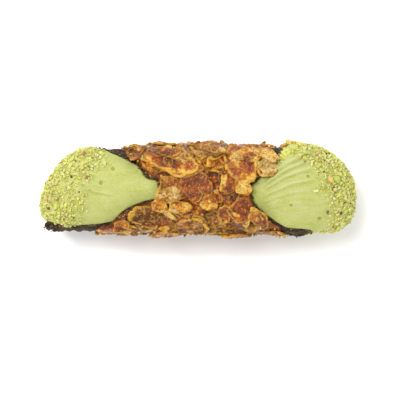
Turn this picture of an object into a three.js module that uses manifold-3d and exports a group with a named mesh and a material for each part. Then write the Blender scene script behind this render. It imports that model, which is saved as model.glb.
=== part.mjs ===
// A filled cannolo. A sheet of cocoa dough is wrapped into a tube, so that each mouth is cut back in a V on
// its upper side. Pistachio cream runs through the tube and swells out of both mouths. A thin film of caramel
// covers the outside of the dough and carries toasted almond slices.
// Millimetres, +Z up. The tube's axis runs along X, and it rests on a flat strip of set caramel at z = 0.
import * as THREE from "three";
import { mergeVertices } from "three/addons/utils/BufferGeometryUtils.js";
import Module from "manifold-3d";

const wasm = await Module();
wasm.setup();

// ---- Driving dimensions, in millimetres ----
const AXIS_HEIGHT = 19.6;
const SHELL_RADIUS = 17; // outside of the dough
const DOUGH = 2.4; // thickness of the dough
const GAP = 0.3; // between pieces that touch
const FILM = 0.9; // thickness of the caramel film
const FILM_RELIEF = 0.22; // height of the waves in the film
const SLICE = 0.9; // thickness of an almond slice
const LEVEL_STEP = SLICE + 2 * GAP; // from one level of slices to the next
const FLARE = 2; // how far the right mouth's lip opens outwards
const FLARE_START = 31;
const FLARE_END = 42;
const FOOT_SWELL = 1.9; // caramel that pooled under the tube as it set
const FOOT_HALF_ANGLE = 17; // degrees each side of straight down
const CUT_ROOM = 1.3 * GAP; // the dough grows by this much to cut the film and the cream

// ---- Fineness of the surfaces ----
const SHELL_COLUMNS = 48;
const SHELL_ROWS = 7;
const FILM_COLUMNS = 48;
const FILM_ROWS = 9;
const CREAM_COLUMNS = 40;
const CREAM_BODY_ROWS = 18;
const CREAM_CAP_ROWS = 5;
const SLICE_SIDES = 9;
const MOUTH_POINTS = 360; // points of a mouth's edge, where distances are measured to it

// Turns are degrees about the tube's axis: 0 is straight up and 90 is towards +Y, the back.
const radians = THREE.MathUtils.degToRad;
const { smoothstep } = THREE.MathUtils;

// ---- Edges that run round the tube, each a list of [turn, x] ----
const LEFT_MOUTH = [
  [0, -16], [13, -17.6], [18, -21], [36, -24.4], [50, -30.5], [65, -38], [95, -46], [130, -49],
  [165, -51], [200, -53], [235, -56.5], [270, -60], [295, -63.5], [305, -62.5], [309.5, -55],
  [311, -44], [315, -34], [328, -30.5], [340, -24.4], [350, -18.6],
];
const RIGHT_MOUTH = [
  [4, 21.8], [21, 26.5], [45, 32], [60, 36], [75, 41.5], [95, 46], [120, 48], [150, 47.5],
  [180, 46], [210, 44], [240, 42], [268, 41.5], [284, 45], [296, 47.2], [301, 43.5],
  [304.5, 36], [318, 29.8], [332, 25.4], [346, 22.8],
];
const LEFT_FILM = [
  [0, -14.6], [14, -15.8], [22, -19], [38, -22], [52, -26.5], [68, -30], [90, -32.5], [130, -36],
  [180, -38.5], [230, -41], [268, -42], [292, -39.5], [308, -32.5], [320, -30], [333, -26],
  [344, -20], [352, -16.2],
];
const RIGHT_FILM = [
  [4, 20.6], [21, 24.8], [45, 29.8], [68, 30.5], [90, 34], [130, 37.5], [180, 38.5], [230, 37],
  [268, 36.5], [286, 34], [304, 30.5], [320, 27], [334, 23.6], [347, 21.4],
];

// ---- Almond slices laid on the upper side, [x, turn, length, width, yaw] ----
// Yaw turns a slice's length from +X towards a growing turn. Later slices lie over earlier ones.
const UPPER_SLICES = [
  [-11.1, 1, 12.5, 9, 5],
  [-24.2, 70, 13, 8, 8],
  [-26.6, 49, 10, 6.5, 35],
  [-12.4, 80, 14, 8, 0],
  [28.2, 31, 9.5, 8.5, 30],
  [27, 74, 11.5, 8, -10],
  [13.4, 79, 11, 8, 0],
  [4.4, 58, 15, 11, -4],
  [-17.9, -38, 20, 11, -13],
  [5.3, -39, 9.5, 7, 85],
  [18.7, -50, 15, 9, 6],
  [-3, -50, 13.5, 8.5, 12],
  [-13.2, -70, 12, 7.5, -4],
  [3.6, -72, 13, 8, 0],
  [-28.4, -62, 12, 7, -6],
  [30.5, -74, 11, 7, 6],
  [17, -77, 12, 7.5, -3],
  [-5.3, 62, 12, 8, 78],
  [-11.5, 36.5, 20.5, 11, -17],
  [17.9, 38, 21.5, 9.5, -58],
  [28.6, 53, 14.5, 6, -40],
  [8.4, 32, 10, 6.5, 17],
  [13.6, 12, 11, 7.5, 62],
  [0.2, 4, 13.5, 10, 20],
  [18.3, -23, 10.5, 8.5, 80],
  [18.4, 2.5, 7, 5, -68],
  [4.8, -15, 7.5, 5.5, 10],
  [25.2, -33, 10, 4.5, -58],
  [-7.4, -20.5, 9, 4.5, -5],
  [-15.8, -19.5, 6.5, 4, -25],
  [-32.4, -48, 7.5, 5.5, 35],
  [-0.9, 34, 6.5, 5, 55],
  [11.2, -28, 6.5, 5, -40],
];

// ---- Almond slices under the tube: two bands, one each side of the foot ----
const UNDER_BANDS = [
  { turn: 112, from: -30, to: 31, count: 5 },
  { turn: 143, from: -33, to: 32, count: 5 },
  { turn: 248, from: -36, to: 30, count: 5 },
  { turn: 216, from: -34, to: 33, count: 5 },
];
const UNDER_LENGTH = 12.5;
const UNDER_WIDTH = 8;

// ---- The cream ----
const CREAM_IN_DOUGH = SHELL_RADIUS - DOUGH / 2; // the cream is modelled to mid-dough, then cut by it
const CREAM_EDGE = 0.7; // distance past the dough's edge where the cream is level with its outside
const CREAM_STEP = 1.2; // width of the band in which it comes up to that level
const CREAM_LIP = 0.35; // how far above the dough that level is
const CREAM_RISE = 7; // distance over which it swells further
const CREAM_PROUD = 0.9; // by how much it does
const UNDER_SLACK = 0.6; // by how much less underneath
const OVERFLOW = { swell: 4.2, from: 27, to: 38 }; // over the right mouth's back, between these x
const LEFT_OVERFLOW = 0.5;

// Each end of the cream is a dome. It starts at x = start, shifted at the back and at the top, and ends in a
// tip. A lower squareness makes its outline blunter.
const LEFT_DOME = {
  start: -49,
  startBack: 5.5,
  startUp: 1.5,
  tip: new THREE.Vector3(-66.2, -5.5, AXIS_HEIGHT - 3),
  squareness: 1.15,
  squarenessBack: 0.25,
};
const RIGHT_DOME = {
  start: 48,
  startBack: -3.5,
  startUp: -1.5,
  tip: new THREE.Vector3(66.2, 0.5, AXIS_HEIGHT - 2.5),
  squareness: 0.8,
  squarenessBack: 0.25,
};

// ---- Small helpers ----
function hash(n) {
  const s = Math.sin(n * 127.1 + 11.7) * 43758.5453;
  return s - Math.floor(s);
}

function onTube(x, turn, radius) {
  const a = radians(turn);
  return new THREE.Vector3(x, radius * Math.sin(a), AXIS_HEIGHT + radius * Math.cos(a));
}

function shellRadius(x) {
  return SHELL_RADIUS + FLARE * smoothstep(x, FLARE_START, FLARE_END);
}

function filmRadius(x, turn) {
  const waves = Math.sin(x * 0.41 + turn * 0.05) * Math.cos(turn * 0.11 - x * 0.17);
  return shellRadius(x) + GAP + FILM + FILM_RELIEF * waves;
}

// A smooth closed line round the tube through an edge's points, as evenly spaced { turn, x }.
function edgeLine(points, count) {
  const places = points.map(([turn, x]) => onTube(x, turn, SHELL_RADIUS));
  const curve = new THREE.CatmullRomCurve3(places, true, "centripetal");
  const spaced = curve.getSpacedPoints(count).slice(0, count);
  let last = points[0][0];
  return spaced.map((p) => {
    let turn = THREE.MathUtils.radToDeg(Math.atan2(p.y, p.z - AXIS_HEIGHT));
    while (turn < last - 180) turn += 360;
    while (turn > last + 180) turn -= 360;
    last = turn;
    return { turn, x: p.x };
  });
}

// The same line moved sideways over the tube's surface: towards -X where side is -1 and +X where it is 1.
function offsetLine(line, distance, side) {
  const degreesPerMm = THREE.MathUtils.radToDeg(1 / SHELL_RADIUS);
  return line.map((p, i) => {
    const before = line[(i + line.length - 1) % line.length];
    const after = line[(i + 1) % line.length];
    const step = (after.turn - before.turn + 720) % 360;
    const along = new THREE.Vector2(step / degreesPerMm, after.x - before.x).normalize();
    return {
      turn: p.turn - along.y * distance * side * degreesPerMm,
      x: p.x + along.x * distance * side,
    };
  });
}

// A closed geometry from rows of points that all have the same number of columns, round and round. With
// closed rows, the last row joins the first; without, a centre point closes each end.
function rowsToGeometry(rows, closed) {
  const columns = rows[0].length;
  const places = rows.flat();
  const index = [];
  const at = (row, column) => row * columns + (column % columns);
  const bands = closed ? rows.length : rows.length - 1;
  for (let r = 0; r < bands; r++) {
    const next = (r + 1) % rows.length;
    for (let c = 0; c < columns; c++) {
      index.push(at(r, c), at(r, c + 1), at(next, c));
      index.push(at(r, c + 1), at(next, c + 1), at(next, c));
    }
  }
  if (!closed) {
    [0, rows.length - 1].forEach((row) => {
      const centre = places.length;
      places.push(rows[row].reduce((sum, p) => sum.add(p), new THREE.Vector3()).divideScalar(columns));
      for (let c = 0; c < columns; c++) {
        const pair = row === 0 ? [at(row, c + 1), at(row, c)] : [at(row, c), at(row, c + 1)];
        index.push(centre, ...pair);
      }
    });
  }
  return new THREE.BufferGeometry().setFromPoints(places).setIndex(index);
}

// A sleeve round the tube, between two edges and two radii, each radius a function of x and turn. Its rows
// lie at the given shares of the way from the left edge to the right one.
function sleeve(left, right, inner, outer, shares) {
  const columns = left.length;
  const row = (share, radius) =>
    Array.from({ length: columns }, (_, c) => {
      const x = THREE.MathUtils.lerp(left[c].x, right[c].x, share);
      const turn = THREE.MathUtils.lerp(left[c].turn, right[c].turn, share);
      return onTube(x, turn, radius(x, turn));
    });
  const outside = shares.map((s) => row(s, outer));
  const inside = shares.map((s) => row(s, inner)).reverse();
  return rowsToGeometry([...outside, ...inside], true);
}

// ---- Solids, for cutting one piece by another ----
function toSolid(geometry) {
  const bare = new THREE.BufferGeometry()
    .setAttribute("position", geometry.getAttribute("position"))
    .setIndex(geometry.index);
  const merged = mergeVertices(bare, 1e-4);
  const solid = new wasm.Manifold(
    new wasm.Mesh({
      numProp: 3,
      vertProperties: merged.attributes.position.array,
      triVerts: new Uint32Array(merged.index.array),
    }),
  );
  return solid.volume() < 0 ? toSolid(reversed(merged)) : solid;
}

function reversed(geometry) {
  const index = Array.from(geometry.index.array);
  for (let i = 0; i < index.length; i += 3) {
    [index[i + 1], index[i + 2]] = [index[i + 2], index[i + 1]];
  }
  return geometry.clone().setIndex(index);
}

// The largest body of a solid, as a geometry.
function toGeometry(solid) {
  const [body] = solid.decompose().sort((a, b) => b.volume() - a.volume());
  const mesh = body.getMesh();
  const geometry = new THREE.BufferGeometry();
  geometry.setAttribute("position", new THREE.BufferAttribute(new Float32Array(mesh.vertProperties), 3));
  geometry.setIndex(new THREE.BufferAttribute(new Uint32Array(mesh.triVerts), 1));
  return geometry;
}

// ---- The dough tube ----
const leftMouth = edgeLine(LEFT_MOUTH, SHELL_COLUMNS);
const rightMouth = edgeLine(RIGHT_MOUTH, SHELL_COLUMNS);

// Its rows lie closer together towards the right, where the lip flares.
function shellSolid(room) {
  const shares = Array.from({ length: SHELL_ROWS + 1 }, (_, i) => Math.sin((i / SHELL_ROWS) * (Math.PI / 2)));
  const geometry = sleeve(
    offsetLine(leftMouth, room, -1),
    offsetLine(rightMouth, room, 1),
    (x) => shellRadius(x) - DOUGH - room,
    (x) => shellRadius(x) + room,
    shares,
  );
  return toSolid(geometry);
}

// ---- The cream ----
const leftMouthFine = edgeLine(LEFT_MOUTH, MOUTH_POINTS);
const rightMouthFine = edgeLine(RIGHT_MOUTH, MOUTH_POINTS);

// How far a place on the tube lies past the nearer mouth's edge: positive in the open, negative in the dough.
function pastEdge(x, turn) {
  const side = Math.sign(x);
  let nearest = Infinity;
  let leastTurned = Infinity;
  let edgeX = 0;
  (side < 0 ? leftMouthFine : rightMouthFine).forEach((p) => {
    const turned = Math.abs(((p.turn - turn + 900) % 360) - 180);
    nearest = Math.min(nearest, Math.hypot(p.x - x, radians(turned) * SHELL_RADIUS));
    if (turned < leastTurned) {
      leastTurned = turned;
      edgeX = p.x;
    }
  });
  return (x - edgeX) * side > 0 ? nearest : -nearest;
}

function creamRadius(x, turn) {
  const open = pastEdge(x, turn);
  const step = smoothstep(open, CREAM_EDGE - CREAM_STEP, CREAM_EDGE);
  const rise = smoothstep(open, CREAM_EDGE, CREAM_EDGE + CREAM_RISE);
  const back = Math.max(0, Math.sin(radians(turn)));
  const under = Math.max(0, -Math.cos(radians(turn)));
  const flare = shellRadius(x) - SHELL_RADIUS;
  const overflow = x > 0 ? OVERFLOW.swell * smoothstep(x, OVERFLOW.from, OVERFLOW.to) : LEFT_OVERFLOW;
  const swell = CREAM_PROUD + overflow * back - UNDER_SLACK * (under + flare);
  return CREAM_IN_DOUGH + flare * (1 - UNDER_SLACK * under) + step * (DOUGH / 2 + CREAM_LIP) + rise * swell;
}

function domeStart(dome, turn) {
  return dome.start + dome.startBack * Math.sin(radians(turn)) + dome.startUp * Math.cos(radians(turn));
}

// The rows between the ring where a dome starts and its tip: x follows a sine, and the ring shrinks with a
// cosine.
function domeRows(ring, turns, { tip, squareness, squarenessBack }) {
  return Array.from({ length: CREAM_CAP_ROWS - 1 }, (_, k) => {
    const angle = ((k + 1) / CREAM_CAP_ROWS) * (Math.PI / 2);
    return ring.map((p, c) => {
      const power = squareness + squarenessBack * Math.sin(radians(turns[c]));
      const shrink = Math.cos(angle) ** power;
      return new THREE.Vector3(
        THREE.MathUtils.lerp(p.x, tip.x, Math.sin(angle)),
        THREE.MathUtils.lerp(tip.y, p.y, shrink),
        THREE.MathUtils.lerp(tip.z, p.z, shrink),
      );
    });
  });
}

function creamSolid() {
  const turns = Array.from({ length: CREAM_COLUMNS }, (_, c) => (c * 360) / CREAM_COLUMNS);
  const body = Array.from({ length: CREAM_BODY_ROWS + 1 }, (_, r) => {
    const share = r / CREAM_BODY_ROWS;
    return turns.map((turn) => {
      const x = THREE.MathUtils.lerp(domeStart(LEFT_DOME, turn), domeStart(RIGHT_DOME, turn), share);
      return onTube(x, turn, creamRadius(x, turn));
    });
  });
  const left = domeRows(body[0], turns, LEFT_DOME).reverse();
  const right = domeRows(body[CREAM_BODY_ROWS], turns, RIGHT_DOME);
  return toSolid(rowsToGeometry([...left, ...body, ...right], false));
}

// ---- The caramel film, with its flat foot ----
function filmSolid() {
  const down = (turn) => Math.abs(((turn + 720) % 360) - 180);
  const outer = (x, turn) => {
    const swell = FOOT_SWELL * (1 - smoothstep(down(turn), FOOT_HALF_ANGLE * 0.7, FOOT_HALF_ANGLE));
    return filmRadius(x, turn) + swell;
  };
  const geometry = sleeve(
    edgeLine(LEFT_FILM, FILM_COLUMNS),
    edgeLine(RIGHT_FILM, FILM_COLUMNS),
    (x) => shellRadius(x) - DOUGH / 2,
    outer,
    Array.from({ length: FILM_ROWS + 1 }, (_, i) => i / FILM_ROWS),
  );
  const places = geometry.getAttribute("position");
  for (let i = 0; i < places.count; i++) {
    places.setZ(i, Math.max(0, places.getZ(i)));
  }
  return toSolid(geometry);
}

// ---- Almond slices ----
// The outline of a slice on the unrolled tube, as [x, distance round]: an ellipse with a narrower, pointed end.
function sliceOutline({ x, turn, length, width, yaw }, scale = 1) {
  const cos = Math.cos(radians(yaw));
  const sin = Math.sin(radians(yaw));
  return Array.from({ length: SLICE_SIDES }, (_, k) => {
    const a = (k / SLICE_SIDES) * 2 * Math.PI;
    const u = (length / 2) * Math.cos(a) * scale;
    const v = (width / 2) * Math.sin(a) * (1 - 0.25 * Math.cos(a)) * scale;
    return [x + u * cos - v * sin, radians(turn) * SHELL_RADIUS + u * sin + v * cos];
  });
}

function inside([px, ps], outline) {
  let within = false;
  outline.forEach(([ax, as], i) => {
    const [bx, bs] = outline[(i + outline.length - 1) % outline.length];
    if (as > ps !== bs > ps && px < ((bx - ax) * (ps - as)) / (bs - as) + ax) within = !within;
  });
  return within;
}

function overlap(a, b) {
  const room = 1 + (2 * GAP) / Math.min(a.width, b.width);
  const outlineA = sliceOutline(a, room);
  const outlineB = sliceOutline(b, room);
  return (
    outlineA.some((p) => inside(p, outlineB)) ||
    outlineB.some((p) => inside(p, outlineA)) ||
    inside([a.x, radians(a.turn) * SHELL_RADIUS], outlineB)
  );
}

// A slice bent over the tube, grown all round by some room: a centre point, a half-way ring and the rim, on
// its lower and its upper face.
function sliceSolid(slice, room) {
  const floor = GAP + FILM + FILM_RELIEF + GAP + slice.level * LEVEL_STEP;
  const grown = { ...slice, length: slice.length + 2 * room, width: slice.width + 2 * room };
  const place = ([x, round], rise) => {
    const turn = THREE.MathUtils.radToDeg(round / SHELL_RADIUS);
    return onTube(x, turn, shellRadius(x) + floor + rise);
  };
  const halfway = sliceOutline(grown, 0.5);
  const rim = sliceOutline(grown);
  const rows = [
    halfway.map((p) => place(p, -room)),
    rim.map((p) => place(p, -room)),
    rim.map((p) => place(p, SLICE + room)),
    halfway.map((p) => place(p, SLICE + room)),
  ];
  return toSolid(rowsToGeometry(rows, false));
}

// A slice lies on the film, or one level up where it covers a slice that does. The slices that it covers on
// its own level are cut back to its rim.
function settle(slices) {
  slices.forEach((slice, i) => {
    const covered = slices.slice(0, i).filter((laid) => overlap(slice, laid));
    slice.level = covered.some((laid) => laid.level === 0) ? 1 : 0;
    slice.solid = sliceSolid(slice, 0);
    const tool = sliceSolid(slice, GAP);
    covered
      .filter((laid) => laid.level === slice.level)
      .forEach((laid) => {
        laid.solid = laid.solid.subtract(tool);
      });
  });
  return slices;
}

function upperSlices() {
  return UPPER_SLICES.map(([x, turn, length, width, yaw]) => ({ x, turn, length, width, yaw }));
}

function underSlices() {
  return UNDER_BANDS.flatMap(({ turn, from, to, count }, band) =>
    Array.from({ length: count }, (_, i) => {
      const seed = band * 10 + i;
      return {
        x: THREE.MathUtils.lerp(from, to, (i + 0.5) / count) + 2 * (hash(seed) - 0.5),
        turn: turn + 5 * (hash(seed + 50) - 0.5),
        length: UNDER_LENGTH * (0.85 + 0.25 * hash(seed + 100)),
        width: UNDER_WIDTH * (0.85 + 0.2 * hash(seed + 150)),
        yaw: 40 * (hash(seed + 200) - 0.5),
      };
    }),
  );
}

// ---- Materials ----
const material = (color, roughness) => new THREE.MeshStandardMaterial({ color, roughness, metalness: 0 });
const COCOA_DOUGH = material("#2b201a", 0.8);
const CREAM = material("#c3c86f", 0.5);
const CARAMEL = material("#8a4a17", 0.25);
const ALMOND = material("#c48a42", 0.4);

function named(name, geometry, look) {
  const mesh = new THREE.Mesh(geometry, look);
  mesh.name = name;
  return mesh;
}

// ---- Assembly ----
const cannolo = new THREE.Group();
const roomForShell = shellSolid(CUT_ROOM);
cannolo.add(named("dough_shell", toGeometry(shellSolid(0)), COCOA_DOUGH));
cannolo.add(named("pistachio_cream", toGeometry(creamSolid().subtract(roomForShell)), CREAM));
cannolo.add(named("caramel_film", toGeometry(filmSolid().subtract(roomForShell)), CARAMEL));
settle([...upperSlices(), ...underSlices()]).forEach((slice, i) => {
  const name = `almond_slice_${String(i + 1).padStart(2, "0")}`;
  cannolo.add(named(name, toGeometry(slice.solid), ALMOND));
});

// The middle of the cannolo's outline stands over the origin.
const middle = new THREE.Box3().setFromObject(cannolo).getCenter(new THREE.Vector3());
cannolo.position.set(-middle.x, -middle.y, 0);

export default cannolo;
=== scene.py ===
"""A filled cannolo: a dark cocoa tube, pistachio cream, a caramel coat with almond slices, and chopped nuts.

Each piece is a surface worked out with numpy. The arrays hold millimetres, and a mesh gets its places in
metres. Turns are degrees about the tube's axis: 0 is straight up and 90 is towards +Y, the back.
"""

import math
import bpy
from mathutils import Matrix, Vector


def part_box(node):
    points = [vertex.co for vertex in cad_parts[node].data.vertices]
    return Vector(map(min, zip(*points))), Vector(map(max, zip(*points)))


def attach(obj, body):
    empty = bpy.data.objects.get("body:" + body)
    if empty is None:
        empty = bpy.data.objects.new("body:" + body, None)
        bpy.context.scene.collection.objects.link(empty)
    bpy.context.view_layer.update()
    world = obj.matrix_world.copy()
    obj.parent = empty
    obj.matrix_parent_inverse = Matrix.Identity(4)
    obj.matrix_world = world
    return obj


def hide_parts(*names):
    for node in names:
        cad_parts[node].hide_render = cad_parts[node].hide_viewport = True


bl_info = {
    "name": "Pistachio Cannolo",
    "version": (1, 0, 0),
    "blender": (4, 5, 0),
    "location": "3D View > Sidebar > Cannolo",
    "description": "Builds a cream-filled cannolo with an almond caramel coat",
    "category": "Add Mesh",
}

from types import SimpleNamespace

import bpy
import numpy as np
from mathutils import Vector

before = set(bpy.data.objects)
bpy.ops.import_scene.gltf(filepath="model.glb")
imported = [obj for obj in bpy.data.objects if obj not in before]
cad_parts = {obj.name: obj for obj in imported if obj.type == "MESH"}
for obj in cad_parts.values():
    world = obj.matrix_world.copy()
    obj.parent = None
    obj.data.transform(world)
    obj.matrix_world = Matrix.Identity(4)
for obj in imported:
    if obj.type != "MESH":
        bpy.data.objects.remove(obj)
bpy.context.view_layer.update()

# ---- Units, and sizes that come from the frame ----
MM = 0.001
BODY = "root"
LEVEL_LIGHT = 1.5  # how much brighter than its own colour level ground looks in this light


def node_box(node):
    """A CAD node's lowest and highest corners, in millimetres."""
    low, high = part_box(node)
    return np.array(low) / MM, np.array(high) / MM


FLARE = 2.0  # how far the right mouth's lip opens outwards, in mm
SHELL_LOW, SHELL_HIGH = node_box("dough_shell")
CREAM_LOW, CREAM_HIGH = node_box("pistachio_cream")
LIP_RADIUS = (SHELL_HIGH[1] - SHELL_LOW[1]) / 2  # the flared lip is a circle about the axis
AXIS_HEIGHT = SHELL_LOW[2] + LIP_RADIUS
SHELL_RADIUS = LIP_RADIUS - FLARE

# ---- How finely the pieces are divided, and how many grains each kind has ----
DOUGH_COLUMNS = 480
FILM_COLUMNS = 470
SLICE_SIDES = 64
SHARD_SIDES = 10
SHARDS = 520
MEAL_GRAINS = 6400
BRIGHT_BITS = 620
HEAP_GRAINS = 1700
SKIN_FLAKES = 330
COAT_CRUMBS = 900
RIM_CRUMBS = 420  # along each mouth

# ---- The caramel's flat foot, in degrees each side of straight down ----
FOOT_FLAT = 11
FOOT_EDGE = 17
FOOT_CLEAR = 14  # no crumb or shard lies closer to straight down than this

# ---- The heap of chopped nut on the right lip, in mm and degrees ----
# Its grains are spread along x, and aside in turn from a line that leans by some degrees a millimetre.
# It is highest at the middle, and falls as a bell of the two reaches.
HEAP = SimpleNamespace(x=39, spread=3.4, turn=56, lean=4, aside=9, last_turn=80, height=2.0,
                       reach=5.5, reach_aside=16)

# ---- Edges that run round the tube, as (turn, x in mm) ----
LEFT_MOUTH = (
    (0, -15.8), (13, -16.6), (18, -21), (36, -24.4), (50, -30.2), (59, -34), (73, -38.2), (95, -43),
    (130, -48), (165, -51), (200, -53), (235, -56.5), (270, -60), (290, -63.5), (297, -62.5), (299.5, -55),
    (302, -44), (309, -35.4), (316, -33.4), (329, -30.1), (341, -23.0), (345.5, -18.0), (352, -16.0),
)
RIGHT_MOUTH = (
    (4, 21.8), (21, 26.5), (45, 32), (60, 36), (75, 41.5), (95, 46), (120, 48), (150, 47.5),
    (180, 46), (210, 44), (240, 42), (268, 41.5), (284, 45), (296, 47.2), (301, 43.5),
    (304.5, 36), (318, 29.8), (332, 25.4), (346, 22.8),
)
LEFT_FILM = (
    (0, -15.8), (13, -16.5), (18, -20.8), (36, -24.0), (50, -28.4), (59, -29.6), (73, -29.8), (90, -31.5),
    (130, -36), (180, -38.5), (230, -41), (268, -43), (292, -41), (304, -37), (315, -33.2), (329, -29.9),
    (341, -22.8), (345.5, -17.9), (352, -15.9),
)
RIGHT_FILM = (
    (4, 21.7), (21, 26.4), (45, 31.4), (60, 29.4), (75, 27.6), (90, 29.5), (130, 37.5), (180, 38.5),
    (230, 37), (268, 37), (286, 35.6), (298, 34.2), (308, 32.2), (320, 29), (332, 25.2), (346, 22.6),
)

# ---- Where the chopped pistachio starts, as (turn, x in mm): it covers the cream beyond these lines ----
LEFT_CRUMBS = (
    (0, -47), (4, -47.8), (11, -45), (21, -42), (33, -38.6), (57, -39), (90, -44), (130, -48),
    (180, -50), (235, -55), (270, -57), (300, -53.5), (311, -50), (322, -47.6), (334, -46.2),
    (346, -45.6),
)
RIGHT_CRUMBS = (
    (0, 50.4), (16, 48.8), (27, 48), (36, 44), (42, 41), (48, 36), (60, 34), (75, 34), (90, 38),
    (120, 46), (180, 48), (240, 47), (270, 50), (297, 55), (333, 53.8), (352, 52.9),
)

# ---- How each upper almond slice looks: (tone at its left, tone at its right, dullness) ----
# Tones: 0 deep red-brown glass, 0.3 amber, 0.6 golden, 1 pale gold. Dullness: 1 is mottled tan skin.
SLICE_LOOKS = (
    (0.6, 0.5, 0.8), (0.4, 0.5, 0.7), (0.3, 0.4, 0.7), (0.5, 0.5, 0.6), (0.7, 0.6, 0.9),
    (0.35, 0.3, 0.15), (0.4, 0.6, 0.8), (0.6, 0.55, 0.9), (0.3, 0.5, 0.75), (0.5, 0.55, 0.5),
    (0.4, 0.5, 0.9), (0.35, 0.45, 0.8), (0.5, 0.6, 0.4), (0.4, 0.5, 0.9), (0.35, 0.45, 0.5),
    (0.5, 0.5, 0.6), (0.5, 0.5, 0.7), (0.6, 0.5, 0.4), (0.2, 0.5, 0.1), (0.4, 0.7, 0.1),
    (0.8, 0.75, 0.4), (0.2, 0.3, 0.0), (0.75, 0.5, 0.1), (0.3, 0.34, 0.0), (0.35, 0.4, 0.2),
    (0.7, 0.7, 0.3), (0.65, 0.7, 0.3), (0.45, 0.5, 0.6), (0.6, 0.7, 0.6), (0.6, 0.6, 0.5),
    (0.4, 0.5, 0.5), (0.65, 0.6, 0.3), (0.45, 0.6, 0.7),
)

# ---- Patches seen from above: (x, y, half length, half width, bearing, tone, dullness), sizes in mm ----
PATCHES = (
    (-12.6, 12.2, 6.8, 2.9, -33, 0.24, 0.0), (-20.0, 11.5, 1.6, 3.6, 15, 0.72, 0.0),
    (-9.5, 7.9, 7.0, 1.1, -6, 0.74, 0.0), (-5.5, 13.6, 3.6, 3.0, 0, 0.6, 1.0),
    (8.8, 11.0, 3.6, 1.7, 20, 0.26, 0.0), (4.9, 11.5, 0.9, 3.2, -25, 0.72, 0.0),
    (7.6, 8.7, 3.6, 0.8, 18, 0.68, 0.0), (0.4, 2.2, 5.6, 4.6, -35, 0.3, 0.0),
    (20.6, 9.8, 3.6, 6.4, -25, 0.42, 0.0), (24.4, 10.6, 1.1, 3.6, 15, 0.82, 0.0),
    (16.6, 13.6, 2.6, 2.6, 0, 0.66, 0.7), (14.6, 4.6, 3.0, 3.8, -30, 0.4, 0.0),
    (11.0, 3.2, 0.9, 3.0, -15, 0.85, 0.0), (18.8, 1.0, 1.4, 2.8, -10, 0.9, 0.0),
    (18.8, -5.9, 3.2, 4.4, -12, 0.36, 0.3), (15.6, -10.2, 1.9, 0.8, -25, 0.76, 0.0),
    (7.0, -3.4, 2.6, 2.2, 40, 0.4, 0.0), (3.4, -5.8, 2.4, 1.6, 20, 0.8, 0.1),
    (-6.4, -6.7, 4.2, 1.4, -4, 0.66, 0.0), (-10.4, -1.2, 3.8, 2.6, 0, 0.75, 0.8),
    (-10.4, 3.4, 4.0, 2.0, 0, 0.42, 0.5), (-15.3, -6.6, 2.4, 1.0, -12, 0.74, 0.0),
    (-11.8, -10.4, 3.6, 1.0, -35, 0.88, 0.0), (-25.0, -14.5, 1.9, 1.1, -25, -0.6, -0.3),
    (-19.7, -14.1, 2.2, 0.9, -5, -0.4, -0.3), (-13.5, -17.4, 1.3, 0.9, 0, 0.85, 0.0),
    (1.5, -13.2, 6.8, 3.4, 4, 0.5, 1.0), (4.2, 16.4, 5.2, 2.2, 0, 0.5, 1.0),
    (5.8, 14.9, 1.7, 0.7, -20, -0.2, 0.4), (26.6, 15.2, 4.4, 0.9, -24, 0.8, 0.1),
    (11.3, 19.0, 2.4, 1.3, 0, 0.1, 0.4), (29.0, 10.2, 4.2, 3.6, -30, 0.95, 0.8),
    (-20.0, -10.2, 5.0, 2.6, -10, 0.38, 0.9), (10.0, -16.2, 8.0, 2.0, 0, 0.42, 0.9),
    (-6.0, -13.6, 2.0, 3.0, 0, 0.45, 0.2), (11.6, -8.6, 2.6, 3.6, -20, 0.32, 0.2),
    (9.0, 7.0, 3.0, 1.6, 20, 0.18, 0.1), (12.6, -1.4, 2.6, 3.2, 0, 0.2, 0.2),
)

# ---- How some slices differ from the frame's: (shift along x, shift sideways, length, width, yaw) ----
# Shifts are in mm, length and width are times the frame's, and yaw is added degrees.
SLICE_NUDGES = {
    "almond_slice_02": (1.6, -0.6, 0.85, 0.8, -8),
    "almond_slice_03": (1.0, -0.4, 0.85, 0.9, 0),
    "almond_slice_06": (-2.4, 0.0, 0.8, 0.9, 5),
    "almond_slice_21": (-1.4, -1.8, 0.92, 0.8, 3),
    "almond_slice_31": (0.4, 0.0, 0.85, 0.8, 0),
}

# ---- Marks on the cream ----
PIPING_CRESTS = ((-6.0, 0.2), (-1.6, 0.5), (1.6, 0.7), (5.2, 1.0), (8.0, 1.0), (10.6, 0.8))
CREAM_PITS = (
    (-34.7, 8.8, 0.8), (-39.7, 2.9, 0.8), (45.6, 5.5, 0.7), (50.6, -12.0, 0.8), (38.6, -6.4, 0.5),
)  # x, y and reach, in mm

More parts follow.
